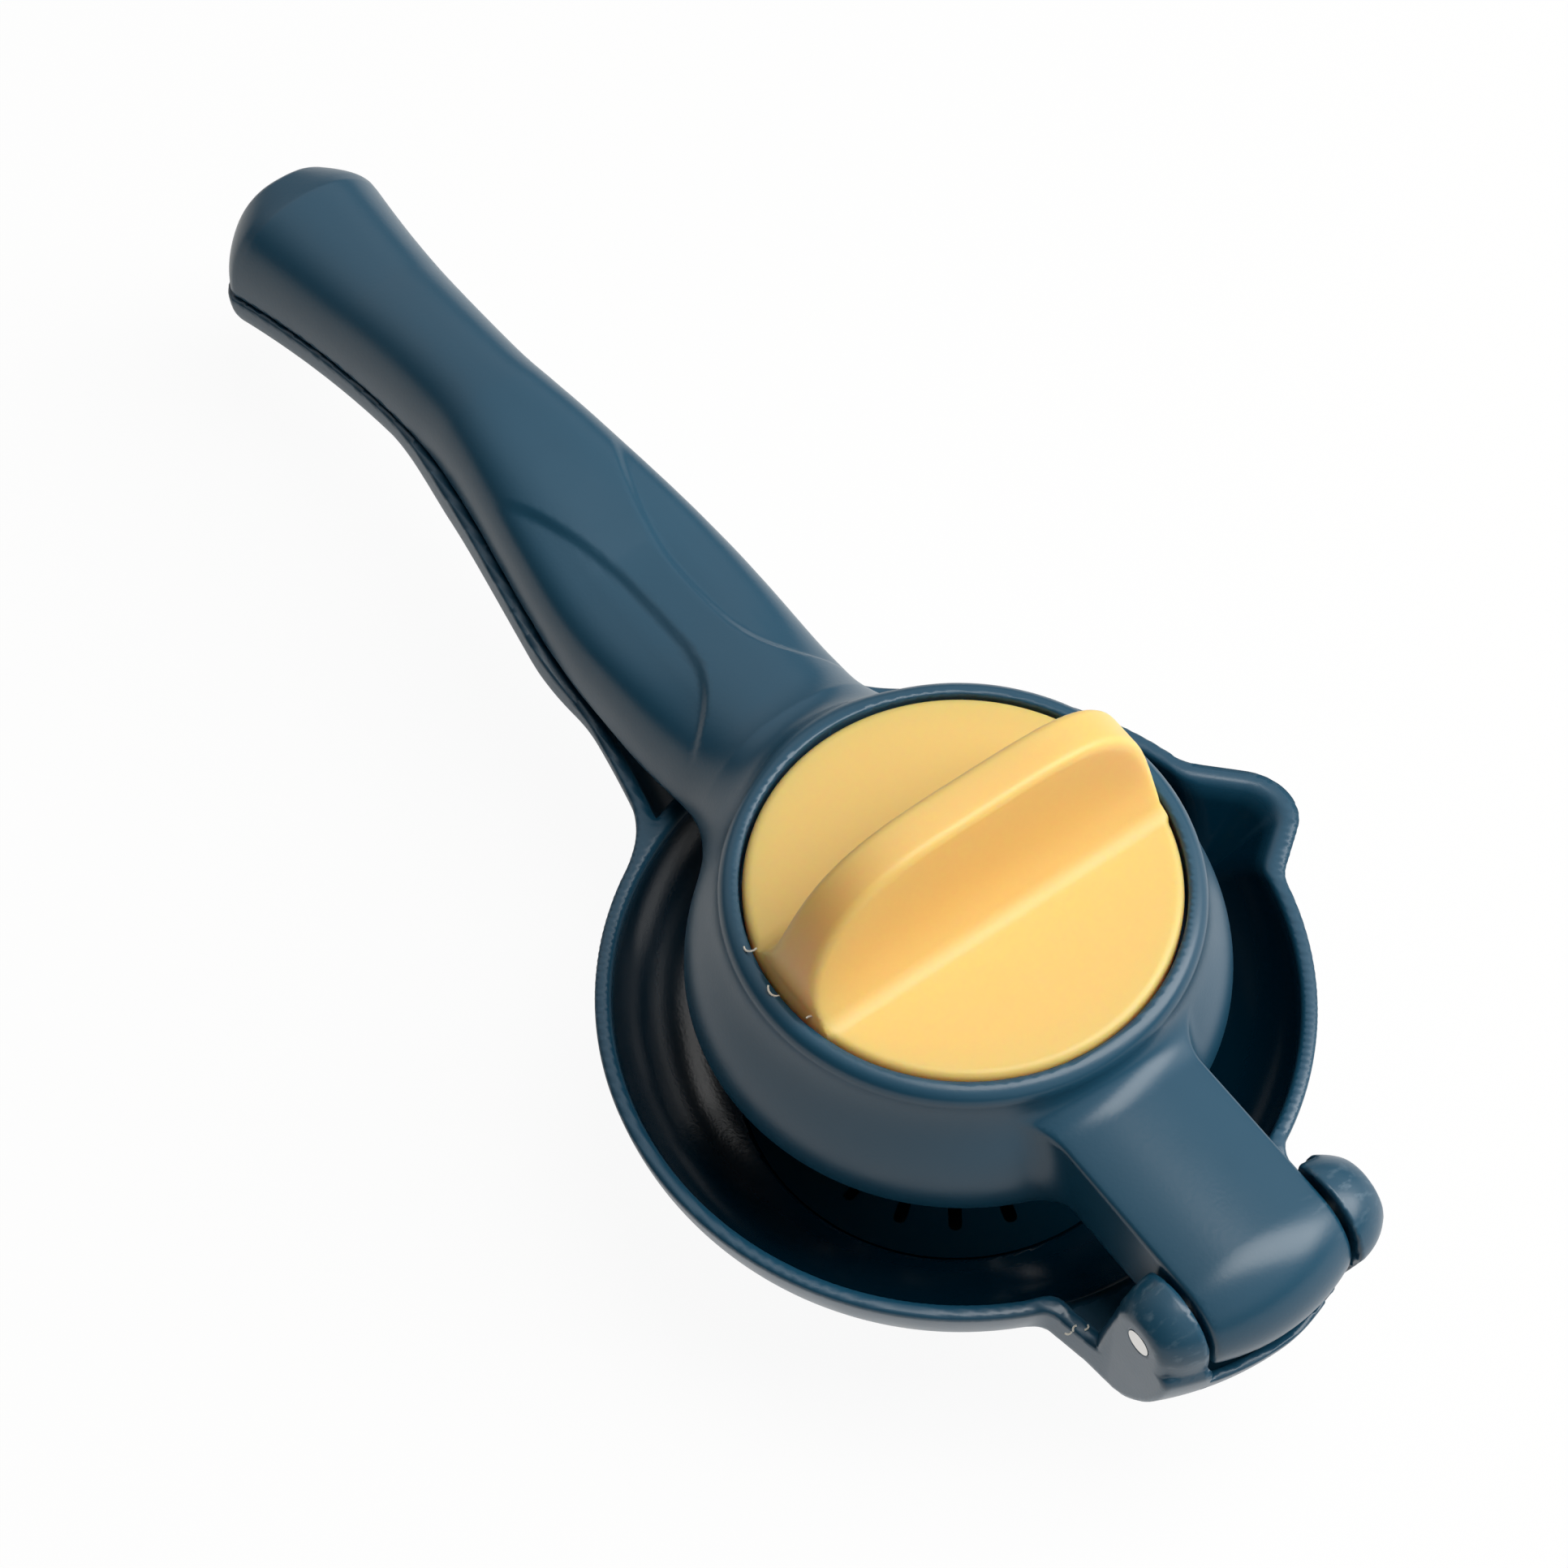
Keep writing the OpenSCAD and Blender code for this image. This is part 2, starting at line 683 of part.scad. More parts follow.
module gripper_washer() {
    color(steel) translate([0, 0, grip_z - washer_t]) difference() {
        cylinder(r = washer_r, h = washer_t, $fn = fine);
        translate([0, 0, -over])
            cylinder(r = shank_r + shank_gap, h = washer_t + 2 * over, $fn = fine);
    }
}

module gripper_screw() {
    recess_d = head_r;
    recess_h = head_h / 2;
    chamfer = 0.6;
    color(steel) translate([0, 0, grip_z - washer_t - head_h]) difference() {
        union() {
            cylinder(r1 = head_r - chamfer, r2 = head_r, h = chamfer, $fn = fine);
            translate([0, 0, chamfer]) cylinder(r = head_r, h = head_h - chamfer, $fn = fine);
            cylinder(r = shank_r, h = head_h + washer_t + shank_l, $fn = fine);
        }
        translate([0, 0, -over]) cylinder(d = recess_d, h = over + recess_h, $fn = 6);
    }
}

// ---- Strainer and reamer ----

module slot() {
    translate([-slot_l / 2 + slot_w / 2, -slot_w / 2]) square([slot_l - slot_w, slot_w]);
    for (side = [-1, 1])
        translate([side * (slot_l - slot_w) / 2, 0]) circle(d = slot_w, $fn = 24);
}

module strainer() {
    color(navy) translate([0, 0, ledge_z]) linear_extrude(strainer_t) difference() {
        circle(r = strainer_r, $fn = smooth);
        circle(r = spigot_r + strainer_gap, $fn = fine);
        for (i = [0 : slots - 1])
            rotate(i * 360 / slots) translate([(reamer_r + well_r) / 2, 0]) slot();
    }
}

// Ogive outline of the reamer
module reamer_section() {
    ogive_r = (pow(reamer_h, 2) + pow(reamer_r, 2)) / (2 * reamer_r);
    intersection() {
        translate([reamer_r - ogive_r, 0]) circle(r = ogive_r, $fn = smooth);
        square([reamer_r, reamer_h]);
    }
}

module reamer() {
    lean = atan(reamer_r / reamer_h) * 0.9;    // a little steeper than the cone of the outline
    flute_x = reamer_r + flute_r * 0.72;       // leaves a flute about a quarter deep
    color(navy) difference() {
        union() {
            translate([0, 0, plate_z]) rotate_extrude($fn = smooth) reamer_section();
            translate([0, 0, ledge_z]) cylinder(r = spigot_r, h = strainer_t + over, $fn = fine);
        }
        for (i = [0 : flutes - 1])
            rotate([0, 0, i * 360 / flutes])
                translate([flute_x, 0, plate_z]) rotate([0, -lean, 0])
                    translate([0, 0, -reamer_h]) cylinder(r = flute_r, h = 3 * reamer_h, $fn = fine);
    }
}

// ---- Hinge pin ----

module hinge_pin() {
    color(steel) translate([-hinge_x, -ear_out, pin_z]) rotate([-90, 0, 0])
        cylinder(r = pin_r, h = 2 * ear_out, $fn = fine);
}

lower_body();
upper_lever();
twist_knob();
fruit_gripper();
gripper_washer();
gripper_screw();
strainer();
reamer();
hinge_pin();
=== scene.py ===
"""Dresses the hinged lemon squeezer: moulded plastic body and lever, a twist knob and its steel.

Lengths in the classes are millimetres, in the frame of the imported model: +X towards the
handle's end, +Z up, the hinge at -X and the pouring lip at -Y. Meshes are made in metres.

The three large mouldings are distance fields, joined with rounded meeting lines and turned into
one closed skin each. Flutes, slots, teeth and burrs are made by Geometry Nodes.
"""

import logging
import math
from dataclasses import dataclass
from enum import Enum
from typing import Any, Callable, Iterable

import bpy
import numpy as np
from mathutils import Matrix, Vector

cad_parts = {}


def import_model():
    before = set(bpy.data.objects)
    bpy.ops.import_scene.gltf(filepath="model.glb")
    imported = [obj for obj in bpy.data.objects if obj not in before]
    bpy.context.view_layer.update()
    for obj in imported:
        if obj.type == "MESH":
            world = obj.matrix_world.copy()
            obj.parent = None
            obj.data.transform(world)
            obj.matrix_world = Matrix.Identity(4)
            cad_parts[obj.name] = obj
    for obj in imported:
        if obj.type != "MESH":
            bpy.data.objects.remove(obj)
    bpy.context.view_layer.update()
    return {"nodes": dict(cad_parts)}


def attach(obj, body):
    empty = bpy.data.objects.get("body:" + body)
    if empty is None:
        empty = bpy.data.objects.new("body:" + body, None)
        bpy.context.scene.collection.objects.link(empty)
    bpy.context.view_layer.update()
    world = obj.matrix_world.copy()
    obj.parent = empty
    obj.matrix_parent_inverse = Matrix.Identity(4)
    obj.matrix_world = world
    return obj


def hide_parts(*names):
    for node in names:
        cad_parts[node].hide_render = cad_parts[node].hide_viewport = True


LOG = logging.getLogger("squeezer")
MM = 0.001
Array = np.ndarray
Field = Callable[[Array, Array, Array], Array]
Span = tuple[float, float]
Point = tuple[float, float, float]
Material = bpy.types.Material
Node = bpy.types.Node
Thing = bpy.types.Object
Tree = bpy.types.NodeTree


class Body(Enum):
    """The bodies that move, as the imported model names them."""

    BASE = "base"
    LEVER = "lever"
    KNOB = "knob"


class Slot(Enum):
    """The material slots of the record."""

    NAVY = "navy_plastic"
    YELLOW = "yellow_plastic"
    STEEL = "steel"


# ---------------------------------------------------------------- distance fields


def ramp(x: Array, a: float, b: float) -> Array:
    """Rises from 0 at a to 1 at b and stays there."""
    return np.clip((x - a) / (b - a), 0.0, 1.0)


def fall(x: Array, a: float, b: float) -> Array:
    """Falls from 1 at a to 0 at b and stays there."""
    return ramp(-x, -b, -a)


def ease(t: Array) -> Array:
    """Smooth step of a ramp."""
    return t * t * (3.0 - 2.0 * t)


def mix(a: Any, b: Any, t: Any) -> Any:
    """Linear blend of a and b."""
    return a + (b - a) * t


def join(a: Array, b: Array, k: float) -> Array:
    """Union of two fields.

    Args:
        a: Distance to the first shape, negative inside.
        b: Distance to the second shape.
        k: Width of the fillet between them.

    Returns:
        Distance to both together.
    """
    h = np.clip(0.5 + 0.5 * (b - a) / k, 0.0, 1.0)
    return b + (a - b) * h - k * h * (1.0 - h)


def meet(a: Array, b: Array, k: float) -> Array:
    """Intersection of two fields, with edges rounded over about k."""
    return -join(-a, -b, k)


def cut(a: Array, b: Array, k: float) -> Array:
    """What is left of a when b is taken away, with edges rounded over about k."""
    return -join(-a, b, k)


def superellipse(u: Array, v: Array, w: Array, h: Array, n: float) -> Array:
    """Distance to a squarish ellipse.

    Args:
        u: Position along the half width.
        v: Position along the height.
        w: Half width.
        h: Height.
        n: Squareness, 2 for an ellipse.

    Returns:
        Distance, corrected by the slope of the field.
    """
    a = np.maximum(np.abs(u) / w, 1e-4)
    b = np.maximum(np.abs(v) / h, 1e-4)
    f = (a**n + b**n) ** (1.0 / n)
    slope = np.hypot(a ** (n - 1.0) / w, b ** (n - 1.0) / h) / f ** (n - 1.0)
    return (f - 1.0) / slope


# ---------------------------------------------------------------- from field to mesh


@dataclass(frozen=True)
class Mesher:
    """Turns a distance field into a closed mesh by dual contouring.

    Every grid edge that the surface crosses gets a quad between the four cells around it, and the
    vertex of each cell lies where the planes through its crossings meet.
    """

    low: Point
    high: Point
    step: float
    soften: float = 0.25
    searches: int = 4
    hold: float = 0.08
    roam: float = 0.7
    slab: int = 16

    def values(self, field: Field, axes: list[Array]) -> Array:
        """Field values on the whole grid, one slab at a time.

        Args:
            field: Distance field.
            axes: Grid positions along x, y and z.

        Returns:
            One value for each grid point.
        """
        x, y, z = axes
        out = np.empty((len(x), len(y), len(z)), np.float32)
        gy, gz = np.meshgrid(y, z, indexing="ij")
        for i in range(0, len(x), self.slab):
            part = x[i : i + self.slab]
            shape = (len(part),) + gy.shape
            gx = np.broadcast_to(part[:, None, None], shape)
            grid = (gx, np.broadcast_to(gy, shape), np.broadcast_to(gz, shape))
            out[i : i + self.slab] = field(*grid)
        return out

    def normals(self, field: Field, p: Array) -> Array:
        """Unit normals of the field.

        Args:
            field: Distance field.
            p: Points.

        Returns:
            One normal for each point.
        """
        g = np.stack([field(*(p + d).T) - field(*(p - d).T) for d in np.eye(3) * self.soften], 1)
        return g / np.maximum(np.linalg.norm(g, axis=1, keepdims=True), 1e-9)

    def refine(self, field: Field, p: Array, axis: int, near: Array, far: Array) -> Array:
        """Slides grid points along an axis to where the field is zero.

        Args:
            field: Distance field.
            p: The near ends of the grid edges that the surface crosses.
            axis: Direction of the edges.
            near: Field values at their near ends.
            far: Field values at their far ends.

        Returns:
            Points on the surface.
        """
        low, high = np.zeros(len(p)), np.ones(len(p))
        for _ in range(self.searches):
            t = low + (high - low) * np.clip(near / (near - far), 0.05, 0.95)
            q = p.copy()
            q[:, axis] += t * self.step
            f = field(*q.T)
            same = (f < 0) == (near < 0)
            low, near = np.where(same, t, low), np.where(same, f, near)
            high, far = np.where(same, high, t), np.where(same, far, f)
        t = low + (high - low) * near / np.where(near == far, 1.0, near - far)
        q = p.copy()
        q[:, axis] += t * self.step
        return q

    def crossings(self, field: Field) -> tuple[Array, Array]:
        """Finds where the surface crosses the grid.

        Args:
            field: Distance field.

        Returns:
            Points on the surface, and for each the four cells around its grid edge, turned so
            that the quad between them faces outwards.
        """
        axes = [
            np.arange(a, b + self.step, self.step, dtype=np.float32)
            for a, b in zip(self.low, self.high)
        ]
        v = self.values(field, axes)
        inside = v < 0
        shape = np.array(v.shape)
        stride = np.array([shape[1] * shape[2], shape[2], 1])
        points: list[Array] = []
        cells: list[Array] = []
        for axis in range(3):
            near = tuple(slice(0, -1) if k == axis else slice(None) for k in range(3))
            far = tuple(slice(1, None) if k == axis else slice(None) for k in range(3))
            index = np.argwhere(inside[near] != inside[far])
            others = [k for k in range(3) if k != axis]
            within = (index[:, others] > 0) & (index[:, others] < shape[others] - 1)
            index = index[np.all(within, 1)]
            ahead = index + np.eye(3, dtype=int)[axis]
            a = v[tuple(index.T)].astype(np.float64)
            b = v[tuple(ahead.T)].astype(np.float64)
            p = np.stack([axes[k][index[:, k]] for k in range(3)], 1).astype(np.float64)
            points.append(self.refine(field, p, axis, a, b))
            base = index @ stride
            s1, s2 = (int(stride[k]) for k in others)
            quad = np.stack([base - s1 - s2, base - s2, base, base - s1], 1)
            outwards = (a < 0) ^ (axis == 1)
            cells.append(np.where(outwards[:, None], quad, quad[:, ::-1]))
        return np.concatenate(points), np.concatenate(cells)

    def settle(self, field: Field, p: Array, quads: Array) -> Array:
        """Places each cell's vertex on the surface, and on its edges and corners.

        Args:
            field: Distance field.
            p: Points where the surface crosses the grid.
            quads: The four cells around each of them.

        Returns:
            One vertex for each cell.
        """
        count = int(quads.max()) + 1
        normal = self.normals(field, p)
        owner = quads.ravel()
        rep = np.repeat(np.arange(len(p)), 4)

        def gather(values: Array) -> Array:
            """Sums a value of the crossings over each cell."""
            return np.bincount(owner, weights=values[rep], minlength=count)

        total = gather(np.ones(len(p)))
        centre = np.stack([gather(p[:, k]) / total for k in range(3)], 1)
        offset = np.einsum("ij,ij->i", normal[rep], p[rep] - centre[owner])
        ata = np.zeros((count, 3, 3))
        atb = np.zeros((count, 3))
        for i in range(3):
            atb[:, i] = np.bincount(owner, weights=normal[rep, i] * offset, minlength=count)
            for j in range(3):
                ata[:, i, j] = gather(normal[:, i] * normal[:, j])
        ata += np.eye(3) * (self.hold * total)[:, None, None]
        move = np.linalg.solve(ata, atb[:, :, None])[:, :, 0]
        return centre + np.clip(move, -self.roam * self.step, self.roam * self.step)

    def build(self, name: str, field: Field) -> Thing:
        """Meshes the field.

        Args:
            name: Name of the new object.
            field: Distance field in millimetres.

        Returns:
            The object, in metres, with normals taken from the field.
        """
        p, cells = self.crossings(field)
        quads = np.unique(cells, return_inverse=True)[1].reshape(-1, 4)
        spots = self.settle(field, p, quads)
        mesh = bpy.data.meshes.new(name)
        mesh.vertices.add(len(spots))
        mesh.vertices.foreach_set("co", (spots * MM).astype(np.float32).ravel())
        mesh.loops.add(quads.size)
        mesh.loops.foreach_set("vertex_index", quads.ravel().astype(np.int32))
        mesh.polygons.add(len(quads))
        mesh.polygons.foreach_set("loop_start", np.arange(0, quads.size, 4, dtype=np.int32))
        mesh.update(calc_edges=True)
        mesh.validate()
        mesh.shade_smooth()
        mesh.normals_split_custom_set_from_vertices(self.normals(field, spots).tolist())
        thing = bpy.data.objects.new(name, mesh)
        bpy.context.scene.collection.objects.link(thing)
        return thing


def mark_polish_and_shade(piece: Thing, share: Array) -> None:
    """Stores on each vertex how far the mould was polished there, from 0 to 1; the same share paints the
    colour darker as painted shade.
    """
    mark = piece.data.attributes.new("polish", "FLOAT", "POINT")
    mark.data.foreach_set("value", share.astype(np.float32))


# ---------------------------------------------------------------- shapes shared by pieces


@dataclass(frozen=True)
class Hinge:
    """Place and sizes of the hinge."""

    x: float = -63.2
    z: float = 46.0
    knuckle_r: float = 10.17
    crown_r: float = 30.0
    half_w: float = 11.5
    far_extra: float = 0.9  # how much wider the hinge is on its far side

    def away(self, y: Array) -> Array:
        """Distance from the middle plane, measured so that both sides share their limits."""
        return np.where(y < 0, -y - self.far_extra, y)

    def from_pin(self, x: Array, z: Array) -> Array:
        """Distance from the pin's axis."""
        return np.hypot(x - self.x, z - self.z)

    def knuckle(self, x: Array, y: Array, z: Array, grow: float) -> Array:
        """Distance to the crowned barrel about the pin, made larger by grow."""
        rho = self.from_pin(x, z) + self.crown_r - self.knuckle_r
        return np.hypot(rho, y) - self.crown_r - grow


@dataclass(frozen=True)
class Grip:
    """The two closed handles, which share a plan, a parting line and a rounded end."""

    reach: float = 180.85
    blunt: float = 0.6  # how far past the end its rounding would close
    root_x: float = 70.0
    root_w: float = 16.0
    waist_x: float = 125.0
    waist_w: float = 10.3
    end_w: float = 14.2
    crest_x: float = 115.0
    rim_z: float = 32.0
    root_rise: float = 3.6
    crest_rise: float = 7.0
    end_drop: float = 14.0
    tip_l: float = 10.0
    roll_l: float = 4.5
    edge_k: float = 1.2
    thin: float = 0.05  # least width and height of a section
    wall: float = 2.4
    ribs: int = 5
    rib_t: float = 1.6

    def parting(self, x: Array) -> Array:
        """Height of the parting line.

        Args:
            x: Place along the handle.

        Returns:
            The height at each place.
        """
        share = ease(ramp(x, self.root_x - 10.0, self.crest_x))
        rising = mix(self.root_rise, self.crest_rise, share)
        along = np.maximum(0.0, (x - self.crest_x) / (self.reach - self.crest_x))
        falling = self.crest_rise - self.end_drop * along**1.4
        return self.rim_z + np.where(x < self.crest_x, rising, falling)

    def end_round(self, x: Array, length: float, power: float) -> Array:
        """Share of a width or height that the rounded end, of a length and power, leaves at x."""
        gone = ramp(x, self.reach - length, self.reach + self.blunt) ** power
        return np.maximum(1.0 - gone, 1e-4) ** (1.0 / power)

    def half_w(self, x: Array) -> Array:
        """Half width in plan.

        Args:
            x: Place along the handle.

        Returns:
            The half width at each place.
        """
        near = mix(self.root_w, self.waist_w, ease(ramp(x, self.root_x, self.waist_x)))
        along = (x - self.waist_x) / (self.reach - self.tip_l - self.waist_x)
        far = self.waist_w + (self.end_w - self.waist_w) * along**2
        return np.where(x < self.waist_x, near, far)

    def arch(self, x: Array, y: Array, rise: Array, w: Array, h: Array, n: Array) -> Array:
        """Distance to an arched section that closes at the handle's end.

        Args:
            x: Place along the handle.
            y: Place across it.
            rise: Height over the section's flat side.
            w: Half width before the end.
            h: Height before the end.
            n: Squareness of the arch.

        Returns:
            Distance, negative inside.
        """
        w = np.maximum(w * self.end_round(x, self.tip_l, 1.5), self.thin)
        h = np.maximum(h * self.end_round(x, self.roll_l, 1.6), self.thin)
        section = superellipse(y, np.maximum(rise, 0.0), w, h, n)
        return meet(section, x - self.reach, self.edge_k)

    def hollow(self, x: Array, outside: Array) -> Array:
        """The room inside a handle, between its cross ribs.

        Args:
            x: Place along the handle.
            outside: Distance to the handle's outside.

        Returns:
            Distance, negative in the room.
        """
        first = self.root_x
        pitch = (self.reach - self.tip_l - first) / self.ribs
        i = np.clip(np.floor((x - first) / pitch), 0, self.ribs - 1)
        rib = np.abs(x - first - pitch * (i + 0.5)) - self.rib_t / 2
        room = np.maximum(outside + self.wall, x - self.reach + self.wall)
        return np.maximum(np.maximum(room, -rib), -x)


# ---------------------------------------------------------------- upper lever


@dataclass(frozen=True)
class UpperLever:
    """Drum, arm and upper handle, moulded in one."""

    hinge: Hinge = Hinge()
    grip: Grip = Grip()
    low: Point = (-75.5, -42.0, 24.0)
    high: Point = (182.5, 42.0, 64.0)
    step: float = 0.75
    # Drum
    collar_r: float = 33.9
    skirt_r: float = 38.9
    skirt_z: float = 39.5
    skirt_foot: float = 1.0
    top_z: float = 62.1
    crease_drop: float = 8.5
    crease_k: float = 5.0
    edge_r: float = 2.4
    bore_r: float = 31.0
    seat_z: float = 57.5
    web_z: float = 54.5
    hub_r: float = 7.05
    wall: float = 2.6
    # Arm and knuckle
    pin_r: float = 2.06
    arm_x: float = -22.0
    arm_z: float = 40.5
    arm_k: float = 4.0
    arm_edge: float = 0.7
    edge_drop: float = 2.8
    edge_step: float = 1.3
    # Handle
    height: float = 13.5
    swell_x: float = 145.0
    end_extra: float = 3.1
    end_crest: float = 169.0
    end_fall: float = 0.15
    end_soft: float = 0.6
    root_extra: float = 7.0
    root_span: Span = (40.0, 80.0)
    root_start: float = 25.0
    root_k: float = 9.0
    square: float = 2.4
    squarer: float = 0.5
    squarer_in: Span = (50.0, 68.0)
    squarer_out: Span = (104.0, 122.0)
    spine_x: float = 71.0
    spine_w: float = 3.1
    spine_flare: float = 2.4e-5
    spine_spread: float = 0.0088
    dish: float = 0.8
    dish_edge: Span = (-0.5, 1.5)
    dish_in: Span = (38.0, 44.0)
    dish_out: Span = (94.0, 112.0)
    dish_side: Span = (0.5, 0.92)
    dish_rise: Span = (3.0, 9.0)
    floor_span: Span = (36.0, 60.0)
    floor_end: float = -40.0

    def drum(self, r: Array, z: Array, inset: float) -> Array:
        """The drum's outside, or with an inset the room under its web.

        Args:
            r: Distance from the drum's axis.
            z: Height.
            inset: How far the shape lies inside the drum's outside.

        Returns:
            Distance, negative inside.
        """
        rise = self.top_z - self.crease_drop - self.skirt_z - self.skirt_foot
        out = self.skirt_r - self.collar_r
        bulge = (out**2 + rise**2) / (2.0 * out)
        skirt = np.hypot(r - self.skirt_r + bulge, z - self.skirt_z - self.skirt_foot) - bulge
        skirt = np.maximum(skirt, z - self.top_z + 3.0)
        qr = r - (self.collar_r - self.edge_r)
        qz = z - (self.top_z - self.edge_r)
        round_top = np.hypot(np.maximum(qr, 0), np.maximum(qz, 0)) - self.edge_r
        collar = np.minimum(np.maximum(qr, qz), 0.0) + round_top
        return join(skirt, collar, self.crease_k) + inset

    def spine(self, x: Array) -> Array:
        """Half width of the raised spine between the thumb dishes at x."""
        off = x - self.spine_x
        return self.spine_w + np.where(off < 0, self.spine_flare * off**4, self.spine_spread * off**2)

    def handle(self, x: Array, y: Array, z: Array) -> Array:
        """The upper handle over its parting line, with its thumb dishes.

        Args:
            x: Place along the handle.
            y: Place across it.
            z: Height.

        Returns:
            Distance, negative inside.
        """
        grip = self.grip
        rise = z - grip.parting(x)
        w = grip.half_w(x)
        h = self.height + self.end_extra * ramp(x, self.swell_x, self.end_crest) ** 1.5
        past = np.logaddexp(0.0, (x - self.end_crest) / self.end_soft) * self.end_soft
        h = h - self.end_fall * past + self.root_extra * fall(x, *self.root_span) ** 1.5
        squarer = ease(ramp(x, *self.squarer_in)) * ease(fall(x, *self.squarer_out))
        arch = grip.arch(x, y, rise, w, h, self.square + self.squarer * squarer)
        depth = ease(ramp(np.abs(y) - self.spine(x), *self.dish_edge))
        depth = depth * ease(ramp(x, *self.dish_in)) * fall(x, *self.dish_out)
        depth = depth * (1.0 - ease(ramp(np.abs(y) / w, *self.dish_side)))
        return arch + self.dish * depth * ramp(rise, *self.dish_rise)

    def arm(self, x: Array, y: Array, z: Array) -> Array:
        """The crowned arm and its knuckle, whose back ends in a stepped edge.

        Args:
            x: Place along the arm.
            y: Place across it.
            z: Height.

        Returns:
            Distance, negative inside.
        """
        hinge = self.hinge
        top = np.hypot(y, z - (hinge.z + hinge.knuckle_r - hinge.crown_r)) - hinge.crown_r
        bar = np.maximum(np.maximum(hinge.x - x, x - self.arm_x), top)
        bar = np.maximum(bar, self.arm_z - z)
        barrel = hinge.knuckle(x, y, z, 0.0)
        edged = np.maximum(barrel, hinge.z - self.edge_drop - z)
        behind = np.minimum(edged, barrel + self.edge_step)
        both = np.minimum(bar, np.where(x < hinge.x, behind, barrel))
        return meet(both, hinge.away(y) - hinge.half_w, self.arm_edge)

    def field(self, x: Array, y: Array, z: Array) -> Array:
        """Distance to the whole lever.

        Args:
            x: Place along the squeezer.
            y: Place across it.
            z: Height.

        Returns:
            Distance, negative inside.
        """
        grip = self.grip
        r = np.hypot(x, y)
        handle = self.handle(x, y, z)
        rooted = np.maximum(handle, self.root_start - x)
        body = join(self.drum(r, z, 0.0), rooted, self.root_k)
        body = join(body, self.arm(x, y, z), self.arm_k)
        floor = mix(grip.parting(x), self.skirt_z, ease(fall(x, *self.floor_span)))
        floor = np.where(x < self.floor_end, 0.0, floor)
        body = meet(body, floor - z, 0.6)
        room = meet(self.drum(r, z, self.wall), z - self.web_z, 3.0)
        room = np.where(r < self.skirt_r, room, 1.0)
        hollow = np.maximum(grip.hollow(x, handle), self.skirt_r - r)
        body = cut(body, np.minimum(room, hollow), 0.5)
        body = cut(body, np.maximum(r - self.bore_r, self.seat_z - z), 0.5)
        body = cut(body, r - self.hub_r, 0.4)
        return cut(body, self.hinge.from_pin(x, z) - self.pin_r, 0.3)

    def build(self) -> Thing:
        """Meshes the lever."""
        return Mesher(self.low, self.high, self.step).build("lever_shell", self.field)


# ---------------------------------------------------------------- lower body


